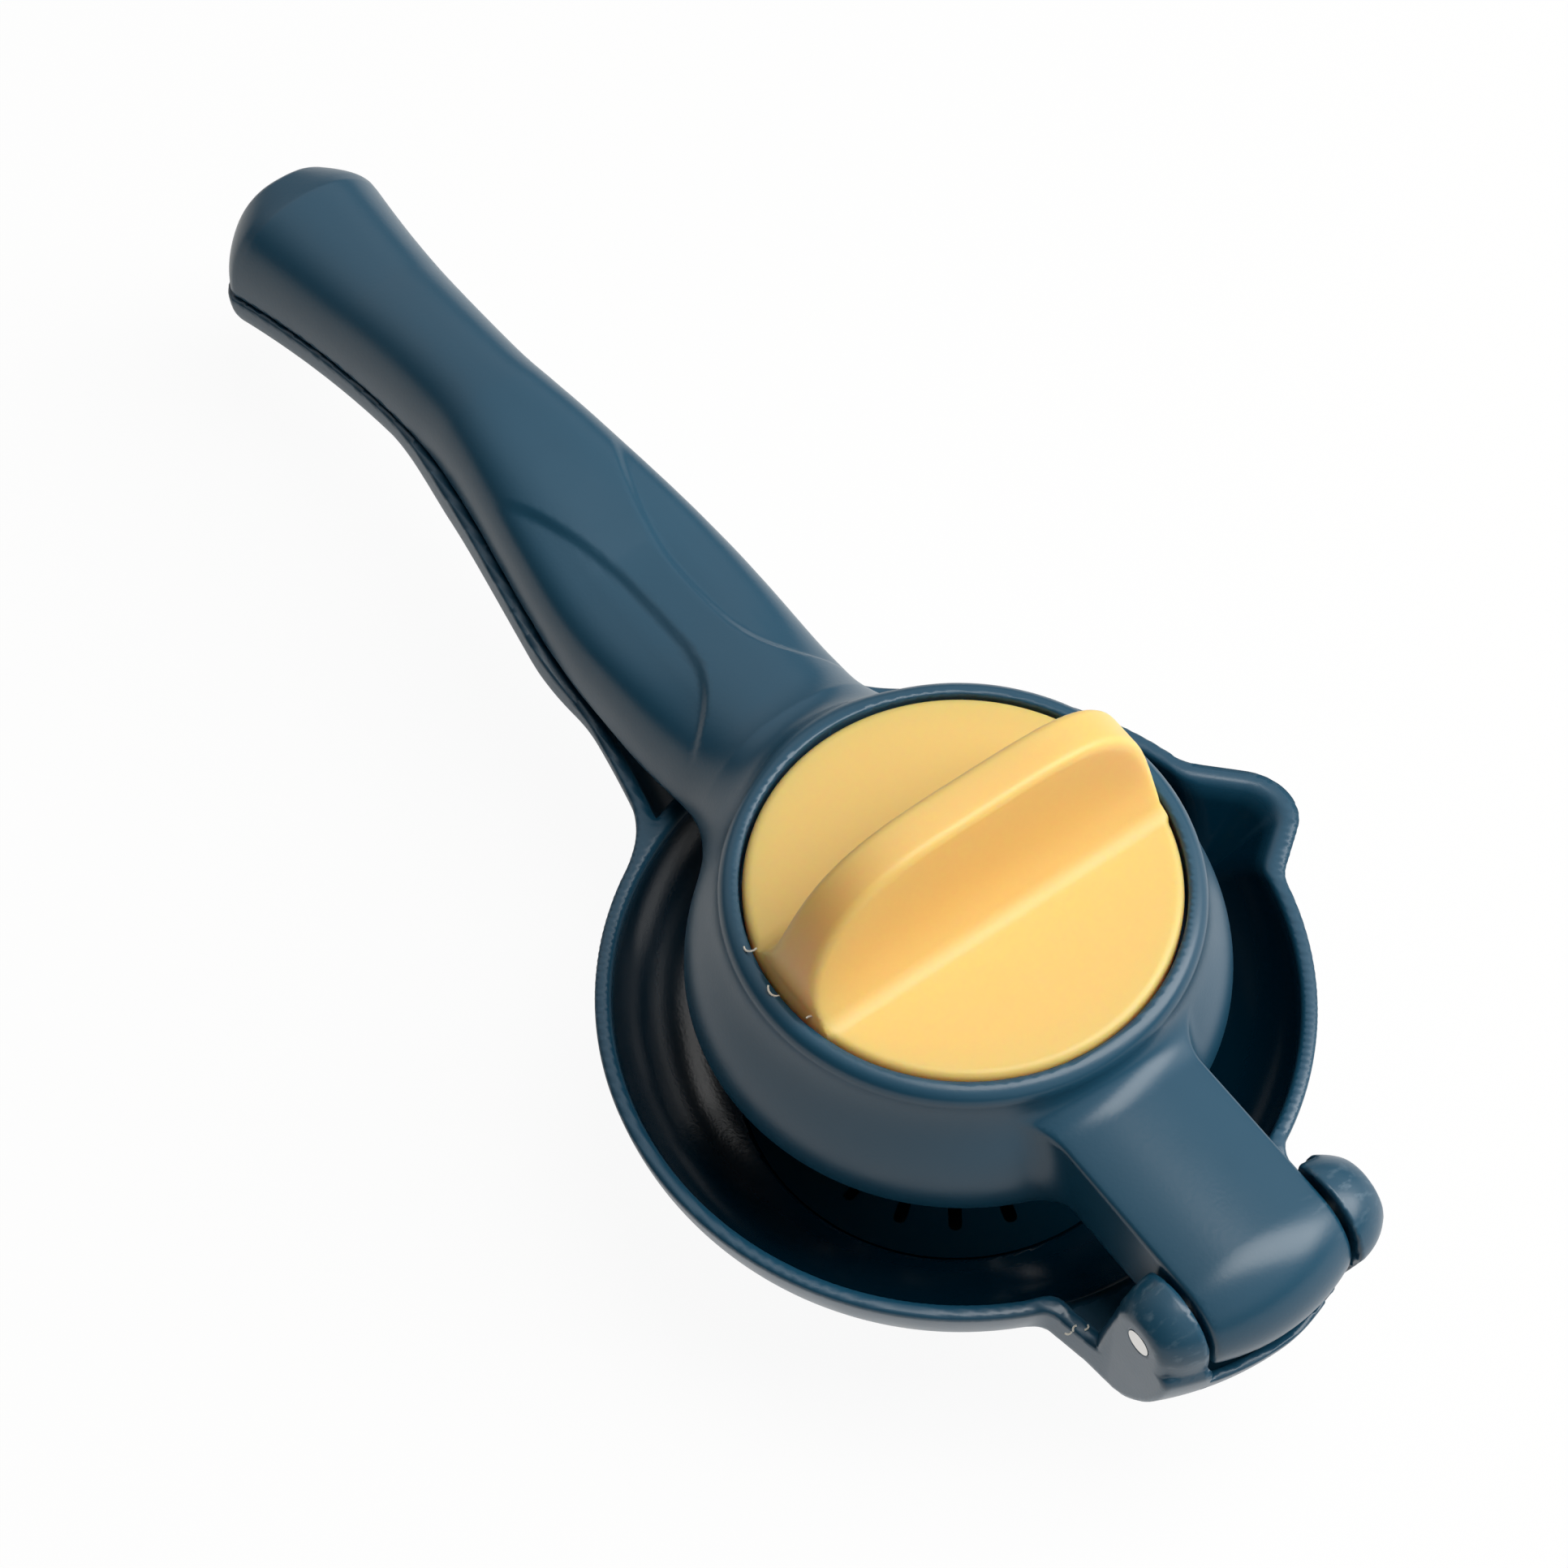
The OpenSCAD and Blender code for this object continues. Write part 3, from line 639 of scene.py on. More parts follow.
@dataclass(frozen=True)
class LowerBody:
    """Bowl, pouring lip, hinge block and lower handle, moulded in one."""

    hinge: Hinge = Hinge()
    grip: Grip = Grip()
    low: Point = (-74.5, -61.5, -1.5)
    high: Point = (182.5, 53.5, 55.5)
    step: float = 0.8
    # Bowl
    bowl_r: float = 52.0
    rim_z: float = 32.0
    curve_r: float = 30.8
    curve_x: float = 21.366
    curve_z: float = 35.2
    wall: float = 2.4
    foot_r: float = 32.5
    foot_z: float = 12.0
    under_z: float = 0.06
    plate_z: float = 8.7
    ledge_z: float = 6.5
    strainer_r: float = 31.6
    well_r: float = 28.4
    floor_z: float = 2.5
    # Pouring lip
    lip_reach: float = 8.2
    lip_nose: float = 8.4
    lip_low_nose: float = 4.0
    lip_low_y: float = -44.0
    lip_root_y: float = -43.0
    lip_root_r: Span = (14.2, 4.6)
    lip_depth: float = 13.0
    lip_wall: float = 2.9
    lip_skew: float = 2.4
    lip_mid: float = 7.0
    lip_half_h: float = 10.0
    # Hinge block and ears
    block_w: float = 18.5
    block_front: float = -44.0
    spread: float = 0.19
    ear_in: float = 12.2
    bow_r: float = 43.0
    back_x: float = -73.0
    back_rise: float = 7.6
    far_back: float = 1.4
    ear_rise: float = 11.5
    lip_back: float = 1.0
    under_side: float = 25.3
    curl_x: float = 15.93
    curl_z: float = 44.4
    curl_r: float = 27.6
    ear_r: float = 7.6
    dome_r: float = 9.256
    ear_far_extra: float = 0.9
    pin_r: float = 2.02
    # Pocket between the bowl and the ears
    pocket_wall: float = 2.6
    pocket_x: float = -57.3
    pocket_d: float = 8.5
    # Lower handle
    handle_h: float = 12.0
    proud: float = 0.6
    gap: float = 0.5
    swell: float = 1.1
    swell_in: Span = (66.0, 84.0)
    swell_out: Span = (112.0, 132.0)
    flare_near: float = 4.5
    flare_near_out: Span = (46.0, 72.0)
    flare_far: float = 5.0
    flare_far_out: Span = (46.0, 64.0)

    def bowl(self, r: Array, z: Array, inset: float) -> Array:
        """Distance to the bowl's round form at a radius and height, less the inset."""
        out = np.maximum(r - self.curve_x, 0.0)
        return np.hypot(out, np.minimum(z - self.curve_z, 0.0)) - self.curve_r + inset

    def lip(self, x: Array, y: Array, z: Array, inset: float) -> Array:
        """The pouring lip: a cone that leans out and tapers downwards.

        Args:
            x: Place along the squeezer.
            y: Place across it.
            z: Height.
            inset: How far the shape lies inside the lip's outside.

        Returns:
            Distance, negative inside.
        """
        deep = np.clip((self.rim_z - z) / self.lip_depth, -0.3, 1.3)
        y_far = mix(-self.bowl_r - self.lip_reach + self.lip_nose, self.lip_low_y, deep)
        r_far = mix(self.lip_nose, self.lip_low_nose, deep)
        r_near = mix(*self.lip_root_r, deep)
        span = np.maximum(self.lip_root_y - y_far, 0.5)
        s = np.clip((r_near - r_far) / span, -0.95, 0.95)
        c = np.sqrt(1.0 - s * s)
        px = np.abs(x + self.lip_skew * ramp(-y, 44.0, 60.0))
        py = y - self.lip_root_y
        k = -c * py - s * px
        near = np.hypot(px, py) - r_near
        far = np.hypot(px, y - y_far) - r_far
        out = np.where(k < 0, near, np.where(k > c * span, far, px * c - py * s - r_near))
        return np.maximum(out, np.abs(z - self.rim_z + self.lip_mid) - self.lip_half_h) + inset

    def side(self, x: Array) -> Array:
        """Half width of the hinge block, which spreads towards the bowl, at x."""
        return self.block_w + self.spread * np.maximum(x - self.hinge.x - 5.0, 0.0)

    def block(self, x: Array, y: Array, z: Array) -> Array:
        """The bowed block under the hinge, with its curved undercut.

        Args:
            x: Place along the squeezer.
            y: Place across it.
            z: Height.

        Returns:
            Distance, negative inside.
        """
        away = self.hinge.away(y)
        back = self.back_x + self.far_back * ease(ramp(-y, 0.0, 14.0))
        out = np.hypot(x - back - self.bow_r, y)
        under = np.hypot(np.maximum(out - self.curl_x, 0.0), np.minimum(z - self.curl_z, 0.0))
        beside = away > self.ear_in - 0.2
        rise = np.where(beside, self.ear_rise, self.back_rise)
        top = self.rim_z + np.where(x < self.hinge.x, rise, 0.0)
        edge_k = np.where(beside & (x < self.hinge.x), 2.5, 0.5)
        body = meet(under - self.curl_r, z - top, edge_k)
        low = self.under_side - 1.4 * np.maximum(19.0 - away, 0.0)
        body = meet(body, (low - z) * 0.6, 1.5)
        return meet(np.maximum(body, x - self.block_front), away - self.side(x), 0.7)

    def ears(self, x: Array, y: Array, z: Array) -> Array:
        """The ears, domed towards their outer faces and leaning out in front.

        Args:
            x: Place along the squeezer.
            y: Place across it.
            z: Height.

        Returns:
            Distance, negative inside.
        """
        hinge = self.hinge
        away = hinge.away(y)
        below = np.maximum(hinge.z - z, 0.0)
        lean = np.where(x > hinge.x, -0.22, np.where(y < 0, 0.3, 0.0))
        along = np.maximum(np.abs(x - hinge.x) + lean * below, 0.0)
        rho = np.hypot(along, np.maximum(z - hinge.z, 0.0))
        dome = np.hypot(rho + self.dome_r - self.ear_r, away - hinge.half_w) - self.dome_r
        foot = self.rim_z - 1.0 + np.where(x < hinge.x, self.back_rise, 0.0)
        more = np.where(y < 0, self.ear_far_extra, 0.0)
        ear = meet(dome - more, away - self.side(x) - more, 0.6)
        return np.maximum(meet(ear, self.ear_in - away, 0.5), foot - z)

    def handle(self, x: Array, y: Array, z: Array) -> Array:
        """The lower handle under its edge, fuller and squarer before its waist.

        Args:
            x: Place along the handle.
            y: Place across it.
            z: Height.

        Returns:
            Distance, negative inside.
        """
        grip = self.grip
        waist = ease(ramp(x, *self.swell_in)) * ease(fall(x, *self.swell_out))
        near = self.flare_near * fall(x, *self.flare_near_out) ** 1.5
        far = self.flare_far * fall(x, *self.flare_far_out) ** 2
        w = grip.half_w(x) + self.proud + self.swell * waist + np.where(y > 0, near, far)
        h = np.full_like(x, self.handle_h)
        return grip.arch(x, y, self.edge(x) - z, w, h, 2.4 + 1.2 * waist)

    def edge(self, x: Array) -> Array:
        """Height of the top edge at x: the rim, then the parting line less its gap."""
        share = ease(ramp(x, self.bowl_r, 92.0))
        return mix(self.rim_z, self.grip.parting(x) - self.gap, share)

    def inside(self, x: Array, y: Array, z: Array) -> Array:
        """Distance to the room for the juice over the strainer, with that of the lip."""
        room = np.maximum(self.bowl(np.hypot(x, y), z, self.wall), self.plate_z - z)
        return join(room, self.lip(x, y, z, self.lip_wall), 1.5)

    def socket(self, x: Array, y: Array, z: Array) -> Array:
        """The room between the ears in which the knuckle turns, open at the back.

        Args:
            x: Place along the squeezer.
            y: Place across it.
            z: Height.

        Returns:
            Distance, negative in the room.
        """
        behind = np.hypot(x - self.back_x - self.bow_r, y) - self.bow_r + self.lip_back
        behind = behind + 0.09 * (self.curl_z - z)
        behind = np.maximum(behind, np.maximum(36.5 - z, x - self.hinge.x))
        room = np.minimum(self.hinge.knuckle(x, y, z, 0.5), behind)
        return np.maximum(room, self.hinge.away(y) - self.ear_in)

    def field(self, x: Array, y: Array, z: Array) -> Array:
        """Distance to the whole lower body.

        Args:
            x: Place along the squeezer.
            y: Place across it.
            z: Height.

        Returns:
            Distance, negative inside.
        """
        r = np.hypot(x, y)
        handle = self.handle(x, y, z)
        body = join(self.bowl(r, z, 0.0), np.maximum(r - self.foot_r, z - self.foot_z), 1.5)
        body = join(body, np.maximum(handle, 40.0 - x), 6.0)
        body = join(body, self.lip(x, y, z, 0.0), 1.5)
        top = np.where(x > self.bowl_r - 8.0, self.edge(x), self.rim_z)
        body = meet(body, z - top, mix(1.0, 0.5, ramp(x, 50.0, 62.0)))
        body = join(body, np.minimum(self.block(x, y, z), self.ears(x, y, z)), 1.6)
        body = np.maximum(body, self.under_z - z)
        inner = self.inside(x, y, z)
        inner = np.minimum(inner, np.maximum(r - self.strainer_r, self.ledge_z - z))
        inner = np.minimum(inner, np.maximum(r - self.well_r, self.floor_z - z))
        pocket = np.maximum(self.pocket_x - x, x - self.block_front)
        pocket = np.maximum(np.abs(y) - self.side(x) + self.pocket_wall, pocket)
        pocket = meet(pocket, self.rim_z - self.pocket_d - z, 2.0)
        body = cut(body, join(inner, pocket, 1.5), 1.0)
        body = cut(body, np.maximum(self.grip.hollow(x, handle), self.bowl_r + 0.2 - r), 0.8)
        body = cut(body, self.socket(x, y, z), 0.4)
        return cut(body, self.hinge.from_pin(x, z) - self.pin_r, 0.3)

    def build(self) -> Thing:
        """Meshes the lower body and marks its inside, from just under the rim, as polished and
        painted darker as painted shade.

        Returns:
            The shell.
        """
        shell = Mesher(self.low, self.high, self.step).build("bowl_shell", self.field)
        spots = np.empty(len(shell.data.vertices) * 3, np.float32)
        shell.data.vertices.foreach_get("co", spots)
        x, y, z = (spots.reshape(-1, 3) / MM).astype(np.float64).T
        # The share is both gloss and painted shade: it makes the inside glossier and paints it darker
        share = fall(self.inside(x, y, z), 0.8, 1.6) * fall(z, self.rim_z - 3.0, self.rim_z - 0.8)
        mark_polish_and_shade(shell, np.where(np.hypot(x, y) < self.bowl_r + 10.0, share, 0.0))
        return shell


# ---------------------------------------------------------------- twist knob


@dataclass(frozen=True)
class TwistKnob:
    """Disc, arched fin, hub and hex drive, moulded in one."""

    low: Point = (-31.5, -31.5, 50.6)
    high: Point = (31.5, 31.5, 86.0)
    step: float = 0.5
    soften: float = 0.15
    disc_r: float = 30.5
    disc_z: float = 57.8
    top_z: float = 62.1
    disc_k: float = 1.4
    fin_h: float = 22.85
    fin_l: float = 29.9
    fin_near: float = 3.5  # squareness of the fin's arch at each end
    fin_far: float = 4.6
    fin_t: float = 3.5
    foot_t: float = 7.8
    draft: float = 0.5
    foot_n: float = 5.5
    crest_k: float = 1.4
    foot_k: float = 1.6
    hub_r: float = 7.0
    hub_z: float = 56.0
    hub_half_h: float = 1.85
    drive_r: float = 5.0
    drive_z: float = 54.0
    drive_half_h: float = 2.4

    def field(self, x: Array, y: Array, z: Array) -> Array:
        """Distance to the knob.

        Args:
            x: Place across the fin.
            y: Place along the fin.
            z: Height.

        Returns:
            Distance, negative inside.
        """
        r = np.hypot(x, y)
        half_t = (self.top_z - self.disc_z) / 2
        disc = np.abs(z - (self.disc_z + self.top_z) / 2) - half_t
        disc = meet(r - self.disc_r, disc, self.disc_k)
        up = z - self.top_z
        left = 1.0 - np.clip(up / self.fin_h, 0.0, 1.0)
        foot = self.foot_t - self.fin_t - self.draft
        flank = np.abs(x) - self.fin_t - self.draft * left - foot * left**self.foot_n
        reach = np.clip(np.abs(y) / self.fin_l, 0.0, 0.9995)
        power = np.where(y < 0, self.fin_far, self.fin_near)
        root = np.sqrt(1.0 - reach**power)
        slope = 1.0 + self.fin_h / self.fin_l * power / 2 * reach ** (power - 1.0) / root
        over = np.maximum((up - self.fin_h * root) / slope, np.abs(y) - self.fin_l)
        fin = meet(np.maximum(flank * 0.96, r - self.disc_r + 0.3), over, self.crest_k)
        knob = join(disc, np.maximum(fin, self.disc_z + 1.0 - z), self.foot_k)
        hub = np.maximum(r - self.hub_r, np.abs(z - self.hub_z) - self.hub_half_h)
        hexagon = np.maximum(np.abs(y), np.abs(y) * 0.5 + np.abs(x) * 0.866) - self.drive_r * 0.866
        drive = np.maximum(hexagon, np.abs(z - self.drive_z) - self.drive_half_h)
        return np.minimum(np.minimum(knob, hub), drive)

    def build(self) -> Thing:
        """Meshes the knob."""
        mesher = Mesher(self.low, self.high, self.step, self.soften)
        return mesher.build("knob_shell", self.field)


# ---------------------------------------------------------------- finishes

# Sockets of the Mix node for colours: its factor, its two colours and the colour that comes out.
# Map Range takes its from and to limits at 1 to 4.
FACTOR, FIRST, SECOND, MIXED = 0, 6, 7, 2


def colour(text: str) -> tuple[float, float, float, float]:
    """Linear colour from an sRGB hex value.

    Args:
        text: The value, as #rrggbb.

    Returns:
        Red, green, blue and a full alpha.
    """
    channels = [int(text[i : i + 2], 16) / 255.0 for i in (1, 3, 5)]
    linear = [c / 12.92 if c <= 0.04045 else ((c + 0.055) / 1.055) ** 2.4 for c in channels]
    return (linear[0], linear[1], linear[2], 1.0)


def blank_tree(owner: Material | bpy.types.World) -> Tree:
    """Turns on the nodes of a material or a world and empties their tree.

    Args:
        owner: The material or the world.

    Returns:
        The emptied tree.
    """
    owner.use_nodes = True
    owner.node_tree.nodes.clear()
    return owner.node_tree


def add(tree: Tree, kind: str, inputs: dict[Any, Any], **settings: Any) -> Node:
    """Adds a node.

    Args:
        tree: The tree that takes it.
        kind: Blender's name of the node type.
        inputs: Value, source node, source socket or list of sources of each input.
        settings: Attributes of the node itself.

    Returns:
        The new node.
    """
    node = tree.nodes.new(kind)
    for key, value in settings.items():
        setattr(node, key, value)
    for key, value in inputs.items():
        for source in value if isinstance(value, list) else [value]:
            if isinstance(source, Node):
                source = source.outputs[0]
            if isinstance(source, bpy.types.NodeSocket):
                tree.links.new(source, node.inputs[key])
            else:
                node.inputs[key].default_value = source
    return node


@dataclass(frozen=True)
class MouldedPlastic:
    """Injection-moulded polypropylene.

    The mould's fine spark texture gives the eye a soft broad gloss over a deep, nearly even
    colour, and a polished mould a mirror-like one, where the colour is also painted darker as
    painted shade. A pale pigment lets light about 10 mm in, which warms the flanks in shade.
    Scales are patterns per metre.
    """

    name: str
    tone: str
    tone_deep: str
    roughness: float
    grain: float
    scuffs: tuple[tuple[float, float, float, float], ...] = ()  # spots and radii in millimetres
    glow: float = 0.0
    # Painted shade: the darker colour that is mixed in where the polish share is set
    polished_shade_tone: str = ""
    polished: float = 0.16
    ior: float = 1.49
    clouds: float = 28.0  # clouds of pigment 36 mm across, which the flow in the mould leaves
    handling: float = 160.0  # patches 6 mm across that hands have worn a little more or less
    rubs: float = 900.0  # rub marks of 0.1 mm, drawn 1.1 mm across so that they show
    spark: float = 1600.0  # spark texture of 0.05 mm, drawn 0.6 mm across so that it shows

    def scuffed(self, tree: Tree, place: Any, base: Node) -> Node:
        """Adds pale rubbed smears where parts knock together.

        Args:
            tree: The material's tree.
            place: Socket of the object's coordinates.
            base: The colour under the smears.

        Returns:
            The colour with the smears.
        """
        smear = add(tree, "ShaderNodeMapping", {"Vector": place, "Scale": (1.0, 0.35, 1.0)})
        marks = add(tree, "ShaderNodeTexNoise", {"Vector": smear, "Scale": self.rubs, "Detail": 4.0})
        share = add(tree, "ShaderNodeMapRange", {"Value": marks, 1: 0.54, 2: 0.72, 3: 0.0, 4: 0.3})
        for x, y, z, reach in self.scuffs:
            spot = (x * MM, y * MM, z * MM)
            away = add(tree, "ShaderNodeVectorMath", {0: place, 1: spot}, operation="DISTANCE")
            limits = {"Value": away.outputs["Value"], 1: 0.0, 2: reach * MM, 3: 1.0, 4: 0.0}
            near = add(tree, "ShaderNodeMapRange", limits)
            here = add(tree, "ShaderNodeMath", {0: share, 1: near}, operation="MULTIPLY")
            tones = {FACTOR: here, FIRST: base.outputs[MIXED], SECOND: colour("#9fb6c4")}
            base = add(tree, "ShaderNodeMix", tones, data_type="RGBA")
        return base

    def build(self) -> Material:
        """Makes the material.

        Returns:
            The new material.
        """
        material = bpy.data.materials.new(self.name)
        tree = blank_tree(material)
        place = add(tree, "ShaderNodeTexCoord", {}).outputs["Object"]
        flow = add(tree, "ShaderNodeTexNoise", {"Vector": place, "Scale": self.clouds, "Detail": 3.0})
        tones = {FACTOR: flow, FIRST: colour(self.tone), SECOND: colour(self.tone_deep)}
        base = add(tree, "ShaderNodeMix", tones, data_type="RGBA")
        if self.scuffs:
            base = self.scuffed(tree, place, base)
        # The attribute is 1 where the mould was polished and the colour is painted darker as painted
        # shade, and reads 0 on a piece that has none
        polish = add(tree, "ShaderNodeAttribute", {}, attribute_name="polish").outputs["Fac"]
        # Painted shade: the darker tone that the attribute mixes into the colour
        deep = colour(self.polished_shade_tone or self.tone)
        tones = {FACTOR: polish, FIRST: base.outputs[MIXED], SECOND: deep}
        base = add(tree, "ShaderNodeMix", tones, data_type="RGBA")
        wear = add(tree, "ShaderNodeTexNoise", {"Vector": place, "Scale": self.handling, "Detail": 4.0})
        limits = {"Value": wear, 3: self.roughness - 0.04, 4: self.roughness + 0.05}
        rough = add(tree, "ShaderNodeMapRange", limits)
        rough = add(tree, "ShaderNodeMix", {0: polish, 2: rough, 3: self.polished})
        skin = add(tree, "ShaderNodeTexNoise", {"Vector": place, "Scale": self.spark, "Detail": 2.0})
        dents = {"Height": skin, "Strength": self.grain, "Distance": 0.1 * MM}
        body = {
            "Base Color": base.outputs[MIXED],
            "Roughness": rough,
            "Normal": add(tree, "ShaderNodeBump", dents),
            "IOR": self.ior,
            "Subsurface Weight": self.glow,
            "Subsurface Radius": (1.0, 0.4, 0.1),
            "Subsurface Scale": 10.0 * MM,
        }
        shader = add(tree, "ShaderNodeBsdfPrincipled", body)
        add(tree, "ShaderNodeOutputMaterial", {"Surface": shader})
        return material


@dataclass(frozen=True)
class DrawnSteel:
    """Drawn stainless wire and stamped hardware: bright metal, blurred by fine drawing marks."""

    name: str
    tone: str
    roughness: float
    marks: float = 900.0  # marks of 0.05 mm, drawn 1.1 mm across so that they show

    def build(self) -> Material:
        """Makes the material.

        Returns:
            The new material.
        """
        material = bpy.data.materials.new(self.name)
        tree = blank_tree(material)
        place = add(tree, "ShaderNodeTexCoord", {}).outputs["Object"]
        marks = add(tree, "ShaderNodeTexNoise", {"Vector": place, "Scale": self.marks, "Detail": 3.0})
        limits = {"Value": marks, 3: self.roughness - 0.06, 4: self.roughness + 0.1}
        dents = {"Height": marks, "Strength": 0.15, "Distance": 0.1 * MM}
        body = {
            "Base Color": colour(self.tone),
            "Roughness": add(tree, "ShaderNodeMapRange", limits),
            "Normal": add(tree, "ShaderNodeBump", dents),
            "Metallic": 1.0,
        }
        shader = add(tree, "ShaderNodeBsdfPrincipled", body)
        add(tree, "ShaderNodeOutputMaterial", {"Surface": shader})
        return material


# ---------------------------------------------------------------- repeated shapes


class Pattern:
    """A Geometry Nodes tree with named sizes, turned into a plain mesh when it is complete."""

    def __init__(self, name: str, material: Material, **sizes: float | int) -> None:
        """Starts the tree.

        Args:
            name: Name of the piece.
            material: Finish of the piece.
            sizes: Named inputs of the tree and their values, lengths in metres.
        """
        self.name = name
        self.material = material
        self.tree = bpy.data.node_groups.new(name, "GeometryNodeTree")
        face = self.tree.interface
        face.new_socket("Geometry", in_out="OUTPUT", socket_type="NodeSocketGeometry")
        self.values: dict[str, float | int] = {}
        for label, value in sizes.items():
            kind = "NodeSocketInt" if isinstance(value, int) else "NodeSocketFloat"
            socket = face.new_socket(label, in_out="INPUT", socket_type=kind)
            self.values[socket.identifier] = value
        entry = self.tree.nodes.new("NodeGroupInput")
        self.size = {label: entry.outputs[label] for label in sizes}

    def add(self, kind: str, inputs: dict[Any, Any], **settings: Any) -> Node:
        """Adds a node to this tree."""
        return add(self.tree, kind, inputs, **settings)

    def around(self, shape: Node, radius: Any, count: Any, turned: bool) -> Node:
        """Copies a shape onto a ring of places.

        Args:
            shape: The node that gives the shape.
            radius: Radius of the ring.
            count: Number of copies.
            turned: Whether each copy faces outwards.

        Returns:
            The node that gives the copies.
        """
        ring = self.add("GeometryNodeCurvePrimitiveCircle", {"Resolution": count, "Radius": radius})
        inputs = {"Points": ring, "Instance": shape}
        if turned:
            index = self.add("GeometryNodeInputIndex", {})
            part = self.add("ShaderNodeMath", {0: index, 1: count}, operation="DIVIDE")
            angle = self.add("ShaderNodeMath", {0: part, 1: math.tau}, operation="MULTIPLY")
            inputs["Rotation"] = self.add("ShaderNodeCombineXYZ", {"Z": angle})
        return self.add("GeometryNodeInstanceOnPoints", inputs)

    def plate(self, rings: dict[Any, int], holes: list[Node], thickness: Any, low: float) -> Node:
        """A closed flat plate.

        Args:
            rings: Radius and number of sides of its round edge and its round hole.
            holes: Curves of its other holes.
            thickness: Its thickness.
            low: Height of its underside in millimetres.

        Returns:
            The node that gives the plate.
        """
        outlines = [
            self.add("GeometryNodeCurvePrimitiveCircle", {"Resolution": sides, "Radius": radius})
            for radius, sides in rings.items()
        ]
        curves = self.add("GeometryNodeJoinGeometry", {0: outlines + holes})
        real = self.add("GeometryNodeRealizeInstances", {0: curves})
        face = self.add("GeometryNodeFillCurve", {0: real})
        rise = {0: face, "Offset Scale": thickness, "Individual": False}
        top = self.add("GeometryNodeExtrudeMesh", rise)
        under = self.add("GeometryNodeFlipFaces", {0: face})
        both = self.add("GeometryNodeJoinGeometry", {0: [top, under]})
        whole = self.add("GeometryNodeMergeByDistance", {0: both, "Distance": 1e-6})
        return self.add("GeometryNodeTransform", {0: whole, "Translation": (0.0, 0.0, low * MM)})

    def grow(self, shape: Node) -> Thing:
        """Evaluates the tree and keeps its result as a plain mesh.

        Args:
            shape: The node that gives the finished shape.

        Returns:
            The object, without its modifier.
        """
        real = self.add("GeometryNodeRealizeInstances", {0: shape})
        dressed = self.add("GeometryNodeSetMaterial", {0: real, "Material": self.material})
        self.add("NodeGroupOutput", {0: dressed})
        thing = bpy.data.objects.new(self.name, bpy.data.meshes.new(self.name))
        bpy.context.scene.collection.objects.link(thing)
        modifier = thing.modifiers.new("growth", "NODES")
        modifier.node_group = self.tree
        for identifier, value in self.values.items():
            modifier[identifier] = value
        seen = thing.evaluated_get(bpy.context.evaluated_depsgraph_get())
        mesh = bpy.data.meshes.new_from_object(seen)
        thing.modifiers.clear()
        thing.data = mesh
        return thing


@dataclass(frozen=True)
class Reamer:
    """The fluted cone that a half lemon is pressed on."""

    radius: float = 19.0
    height: float = 28.6
    low: float = 8.7
    flutes: int = 8
    shallow: float = 0.14  # depth of a flute at the foot, as a share of the radius
    deepen: float = 0.5  # how much deeper it is at the tip
    around: int = 192
    rows: int = 48

    def build(self, material: Material) -> Thing:
        """Bends a grid into an ogive whose radius dips once for each flute.

        Args:
            material: Finish of the piece.

        Returns:
            The reamer. Its first row of points lies on the axis and closes its foot.
        """
        pattern = Pattern(
            "fluted_reamer",
            material,
            radius=self.radius * MM,
            height=self.height * MM,
            bow=(self.height**2 + self.radius**2) / (2 * self.radius) * MM,
            flutes=self.flutes,
            shallow=self.shallow,
            deepen=self.deepen,
        )
        put = pattern.add
        cells = {"Vertices X": self.around + 1, "Vertices Y": self.rows + 1}
        grid = put("GeometryNodeMeshGrid", {"Size X": 1.0, "Size Y": 1.0, **cells})
        spot = put("ShaderNodeSeparateXYZ", {0: put("GeometryNodeInputPosition", {})})
        known = {**pattern.size, "across": spot.outputs["X"], "row": spot.outputs["Y"]}
        limits = {0: known["row"], 1: 1.0 / self.rows - 0.5, 2: 0.5, 3: 0.0, 4: 1.0}
        known["up"] = put("ShaderNodeMapRange", limits)
        steps = (
            ("angle", "MULTIPLY", "across", math.tau),
            ("z", "MULTIPLY", "up", "height"),
            ("z_square", "MULTIPLY", "z", "z"),
            ("bow_square", "MULTIPLY", "bow", "bow"),
            ("rest", "SUBTRACT", "bow_square", "z_square"),
            ("reach", "SQRT", "rest"),
            ("shift", "SUBTRACT", "bow", "radius"),
            ("outline", "SUBTRACT", "reach", "shift"),
            ("half_flutes", "MULTIPLY", "flutes", 0.5),
            ("turn", "MULTIPLY", "angle", "half_flutes"),
            ("wave", "COSINE", "turn"),
            ("scoop", "ABSOLUTE", "wave"),
            ("depth", "MULTIPLY_ADD", "up", "deepen", "shallow"),
            ("dip", "MULTIPLY", "scoop", "depth"),
            ("left", "SUBTRACT", 1.0, "dip"),
            ("open_r", "MULTIPLY", "outline", "left"),
            ("off_axis", "GREATER_THAN", "row", 0.5 / self.rows - 0.5),
            ("r", "MULTIPLY", "open_r", "off_axis"),
            ("cosine", "COSINE", "angle"),
            ("sine", "SINE", "angle"),
            ("x", "MULTIPLY", "r", "cosine"),
            ("y", "MULTIPLY", "r", "sine"),
            ("lifted", "ADD", "z", self.low * MM),
        )
        for label, operation, *terms in steps:
            inputs = {i: known.get(term, term) for i, term in enumerate(terms)}
            known[label] = put("ShaderNodeMath", inputs, operation=operation)
        place = {"X": known["x"], "Y": known["y"], "Z": known["lifted"]}
        bent = {0: grid, "Position": put("ShaderNodeCombineXYZ", place)}
        closed = {0: put("GeometryNodeSetPosition", bent), "Distance": 1e-6}
        smooth = {0: put("GeometryNodeMergeByDistance", closed)}
        return pattern.grow(put("GeometryNodeSetShadeSmooth", smooth))


